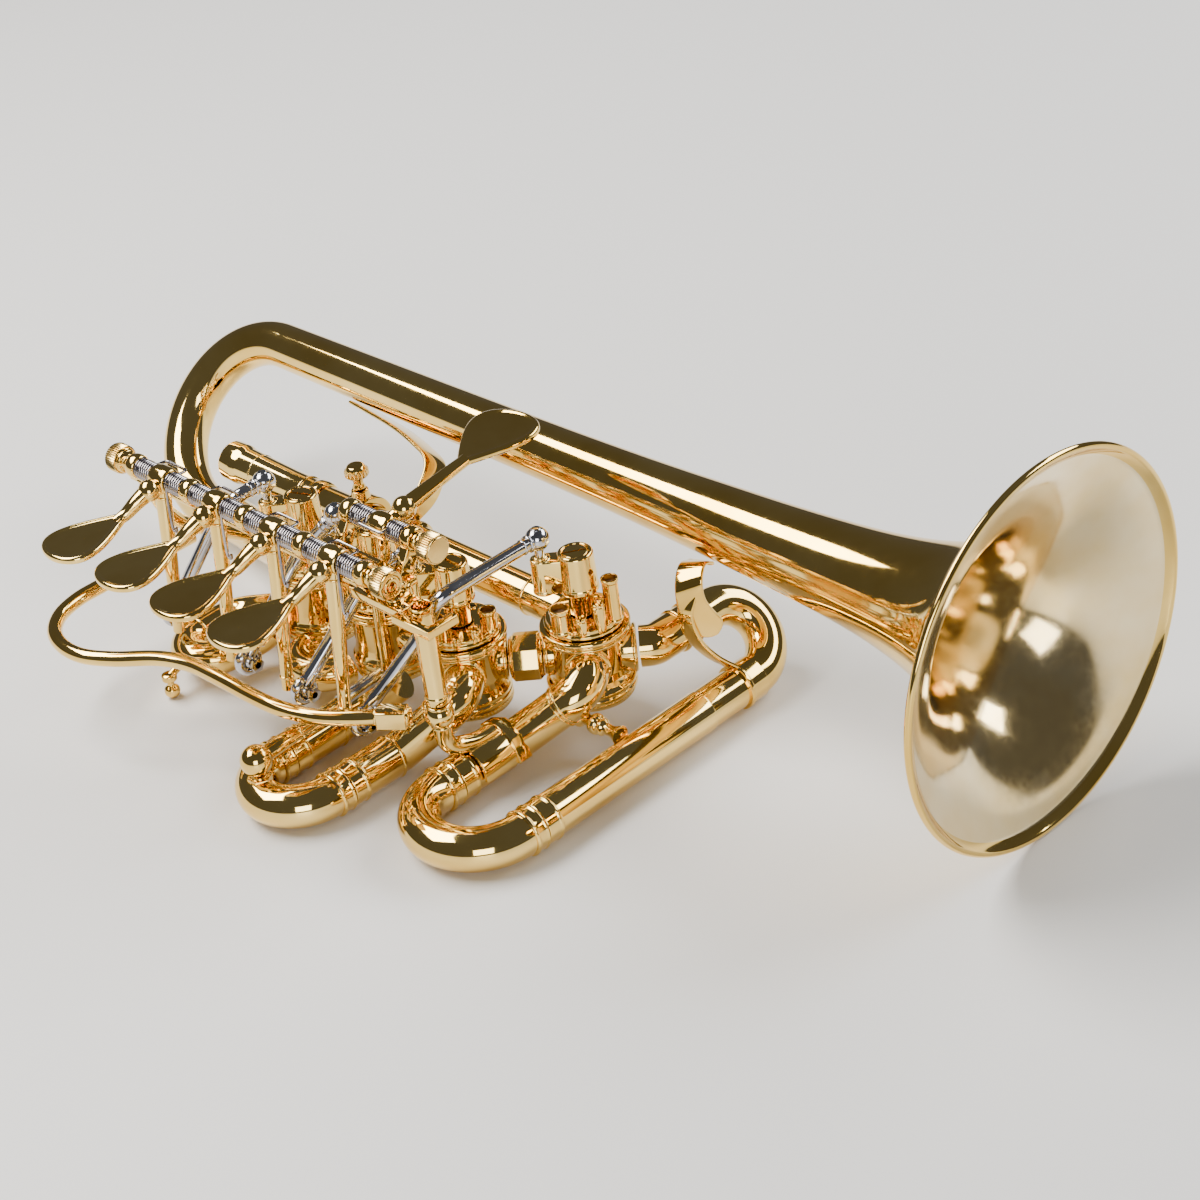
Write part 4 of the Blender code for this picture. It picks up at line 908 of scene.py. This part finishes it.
def trigger_lever():
    """Thumb lever on the second axle with its long push arm."""
    x, y, z = TRIG_X, TRIG_Y, TRIG_Z
    arm = tube([(x + 1.8, -59.2, 18.6), (x + 2.4, -50.0, 20.6), (x + 3.0, -40.0, 22.5)], [2.2, 1.8, 1.5])
    push = rounded_path([(x - 1.2, y, z - 1.5), (x - 1.8, y + 0.5, 6.5), (TRIG_ROD_X, y + 0.5, -2.5),
                         (TRIG_ROD_X, y, TRIG_ROD_Z - 2.2)], 5, 8)
    return [barrel(x, y, z), rod((x + 0.6, y + 0.5, z + 0.5), (x + 1.6, -59.6, 18.2), 1.9),
            ball((x + 1.8, -59.6, 18.4), 3.0), bead((x + 1.9, -57.0, 19.0), (0.04, 1, 0.21), 1.75, 0.5), arm,
            paddle((x + 3.0, -42.4, 22.2), 9.0, 3.0, 25.0, 19.2), tube(push, 1.45, 20)]


show("trigger_lever", *trigger_lever())
show("trigger_spring", *spring(TRIG_COLLARS[0] + 2.0, TRIG_X, TRIG_COLLARS[1] - 2.0, TRIG_Y, TRIG_Z, -1),
     slot="spring")

# ---------------------------------------------------------------- link rods
ROD_R = 1.8
# bends of each rod between its eye and its socket
KNEES = (
    ((-211.0, -68.0, -4.0), (-203.0, -67.5, BALL_Z)),
    ((-184.5, -63.5, -7.5),),
    ((-158.6, -62.6, -6.0),),
    ((-130.6, -67.6, -6.0), (-124.0, -68.8, BALL_Z)),
)


def link_rod(index):
    """Bent steel rod: below, an eye with the ball that rides in it; above, a ball socket."""
    vx, vy = VALVES[index]
    top = Vector((vx - ARM_OUT, vy - ARM_OUT, BALL_Z))
    eye = Vector((LEVER_X[index] + EYE_SIDE[index] * EYE_OFFSET, EYE_Y[index], EYE_Z))
    path = rounded_path([eye + Vector((0, 0.6, 1.6)), *KNEES[index], top], 5, 10)
    away = (path[-2] - top).normalized()
    start_way = (path[1] - path[0]).normalized()
    hole = 2.6 if index == 0 else 2.2
    rod_end = soft([(hole, -1.4), (3.2, -1.4), (3.9, -0.6), (3.9, 0.6), (3.2, 1.4), (hole, 1.4)], 0.3,
                   closed=True)
    socket = lathe(soft([(0, 3.1), (1.1, 3.0), (1.3, 2.75), (1.3, 2.2), (0, 2.2)], 0.1), top, (0, 0, 1), 24)
    return [lathe(rod_end, eye, (1, 0, 0), 44, closed=True), ball(eye, hole - 0.15), tube(path, ROD_R),
            ball(top, 3.05, 40), bead(top, away, 1.9, 0.5, 3.1), bead(top, away, 1.75, 0.35, 5.0),
            bead(eye, start_way, 1.75, 0.5, 5.2), socket]


for number in range(4):
    show("link_rod_" + str(number + 1), *link_rod(number), slot="steel")

knob_at, far_at = Vector((TRIG_ROD_X, KNOB_Y, KNOB_Z)), Vector((TRIG_ROD_X, -67.2, TRIG_ROD_Z))
along = (far_at - knob_at).normalized()
show("trigger_rod", (ball(knob_at, 4.0, 40), "gold"),
     (rod(knob_at + along * 3.0, knob_at + along * 13.4, 2.1, 2.0), "gold"),
     (bead(knob_at, along, 1.95, 0.35, 13.0), "gold"),
     (rod(knob_at + along * 13.0, knob_at + along * 28.0, 1.45), "gold"),
     rod(knob_at + along * 26.6, far_at, 1.75), bead(knob_at, along, 1.7, 0.4, 27.4), slot="steel")

# ---------------------------------------------------------------- hand guard
guard_plan = ((-241.0, -57.9), (-241.0, -73.0), (-241.0, -88.0), (-240.7, -96.0), (-238.0, -103.5),
              (-232.5, -109.0), (-225.0, -111.6), (-217.0, -111.2), (-209.0, -107.2), (-200.0, -100.4),
              (-191.0, -97.2), (-180.0, -96.6), (-166.0, -96.6), (-156.0, -95.8), (-146.5, -92.8),
              (-139.0, -88.0), (-134.6, -84.4))
show("guard_wire", tube(smooth([(x, y, GUARD_Z) for x, y in guard_plan], 8), 2.0, 36))

way = Vector((4.4, 3.3, 0)).normalized()
ferrule_at = Vector((-134.6, -84.4, GUARD_Z)) + way * 0.1
level = Matrix.Rotation(math.atan2(way.y, way.x), 4, "Z")
show("guard_ferrule",
     placed(block((0.2, -2.35, -2.35), (7.8, 2.35, 2.35), 0.35), Matrix.Translation(ferrule_at) @ level),
     bead(ferrule_at, way, 2.2, 0.4, 8.0), bead(ferrule_at, way, 2.0, 0.35, 0.1))

post = soft([(1.9, -19.8), (1.9, 4.0), (2.3, 7.2), (2.85, 7.2), (2.85, 5.9), (2.6, 5.4), (2.7, -17.6),
             (2.95, -17.9), (2.95, -19.8)], 0.2, closed=True)
# the dark rod inside the post's open top is painted shade in its bore
show("guard_post", lathe(post, (POST_X, POST_Y, 0), (0, 0, 1), 44, closed=True),
     (rod((POST_X, POST_Y, 0.0), (POST_X, POST_Y, 3.0), 1.88), "shade"))


def guard_bracket():
    """J-shaped foot of the post: socket ball, bend, saddle and faceted collar."""
    bend = rounded_path([(POST_X, POST_Y, -24.0), (POST_X, POST_Y + 0.3, -33.6), (LOOP4_IN_X, -67.0, -35.6),
                         (LOOP4_IN_X, -62.0, -35.6)], 5, 12)
    saddle = ring((LOOP4_IN_X, -65.4, SLIDE_Z), (0, 1, 0), SLIDE_R + 0.35, SLIDE_R + 1.5, 5.6, 0.3)
    collar = lathe(soft([(SLIDE_R + 0.35, -2.0), (SLIDE_R + 2.4, -2.0), (SLIDE_R + 2.4, 2.0),
                         (SLIDE_R + 0.35, 2.0)], 0.3, closed=True),
                   (LOOP4_IN_X, -59.0, SLIDE_Z), (0, 1, 0), 8, closed=True)
    # saddle and collar are open below, and the bore clears the slide tube
    below = block((-140, -90, -60), (-100, -40, SLIDE_Z - 0.5), 0)
    bore = lathe([(0, 0), (SLIDE_R + 0.35, 0), (SLIDE_R + 0.35, 50), (0, 50)], (LOOP4_IN_X, -90, SLIDE_Z),
                 (0, 1, 0), 56)
    return [carved(saddle, below), carved(collar, below, bore), carved(tube(bend, 2.3, 36), bore),
            ball((POST_X, POST_Y, -23.6), 3.6, 40), bead((POST_X, POST_Y, -26.6), (0, 0, 1), 2.3, 0.5),
            bead((POST_X, POST_Y, -20.9), (0, 0, 1), 2.6, 0.5)]


show("guard_bracket", *guard_bracket())

# ---------------------------------------------------------------- stage, light, camera
scene = bpy.context.scene


def plain(name, colour, rough):
    """Matt finish with a barely visible drift of tone."""
    n = Nodes(name)
    tint = n.noise(1.5, 2.0, 0.5)
    n.feed("Base Color", n.ramp(tint, (0.3, tuple(c * 0.97 for c in colour)), (0.7, colour)))
    n.shader.inputs["Roughness"].default_value = rough
    return n.mat


floor_mesh = bpy.data.meshes.new("floor")
floor_mesh.from_pydata([(-4, -4, 0), (4, -4, 0), (4, 4, 0), (-4, 4, 0)], [], [(0, 1, 2, 3)])
floor_mesh.materials.append(plain("studio_floor", (0.80, 0.79, 0.77), 0.45))
floor = bpy.data.objects.new("floor", floor_mesh)
scene.collection.objects.link(floor)

world = bpy.data.worlds.new("studio")
scene.world = world
world.use_nodes = True
surround = world.node_tree.nodes["Background"]
surround.inputs["Color"].default_value = (0.80, 0.82, 0.86, 1.0)
surround.inputs["Strength"].default_value = 0.12
LIT_POINT = Vector((0, 0, 0.05))


def softbox(name, place, width, height, power, colour=(1.0, 1.0, 1.0)):
    """Rectangular area light aimed at the middle of the instrument."""
    light = bpy.data.lights.new(name, "AREA")
    light.shape = "RECTANGLE"
    light.size, light.size_y = width, height
    light.energy = power
    light.color = colour
    obj = bpy.data.objects.new(name, light)
    obj.location = place
    obj.rotation_euler = (LIT_POINT - Vector(place)).to_track_quat("-Z", "Y").to_euler()
    scene.collection.objects.link(obj)


softbox("key", (-0.5, -0.3, 0.9), 0.9, 0.5, 24.0, (1.0, 0.97, 0.93))
softbox("fill", (1.0, -0.9, 0.45), 0.6, 0.6, 8.0)
softbox("back", (0.3, 0.9, 0.7), 1.0, 0.4, 13.0, (0.96, 0.98, 1.0))

# the photograph's viewpoint, solved from points on the instrument and given in its millimetres
CAMERA_AT = Vector((313.830, -395.692, 340.699))
camera_data = bpy.data.cameras.new("camera")
camera_data.lens = 82.645
camera_data.sensor_width = 36.0
camera_data.clip_start = 0.01
camera = bpy.data.objects.new("camera", camera_data)
right = Vector((0.70062, 0.70435, -0.11409))
up = Vector((-0.31172, 0.44598, 0.83901))
back = Vector((0.64184, -0.55226, 0.53202))
turn = Matrix((right, up, back)).transposed().to_4x4()
camera.matrix_world = Matrix.Translation((CAMERA_AT + SHIFT) * 0.001) @ turn
scene.collection.objects.link(camera)
scene.camera = camera
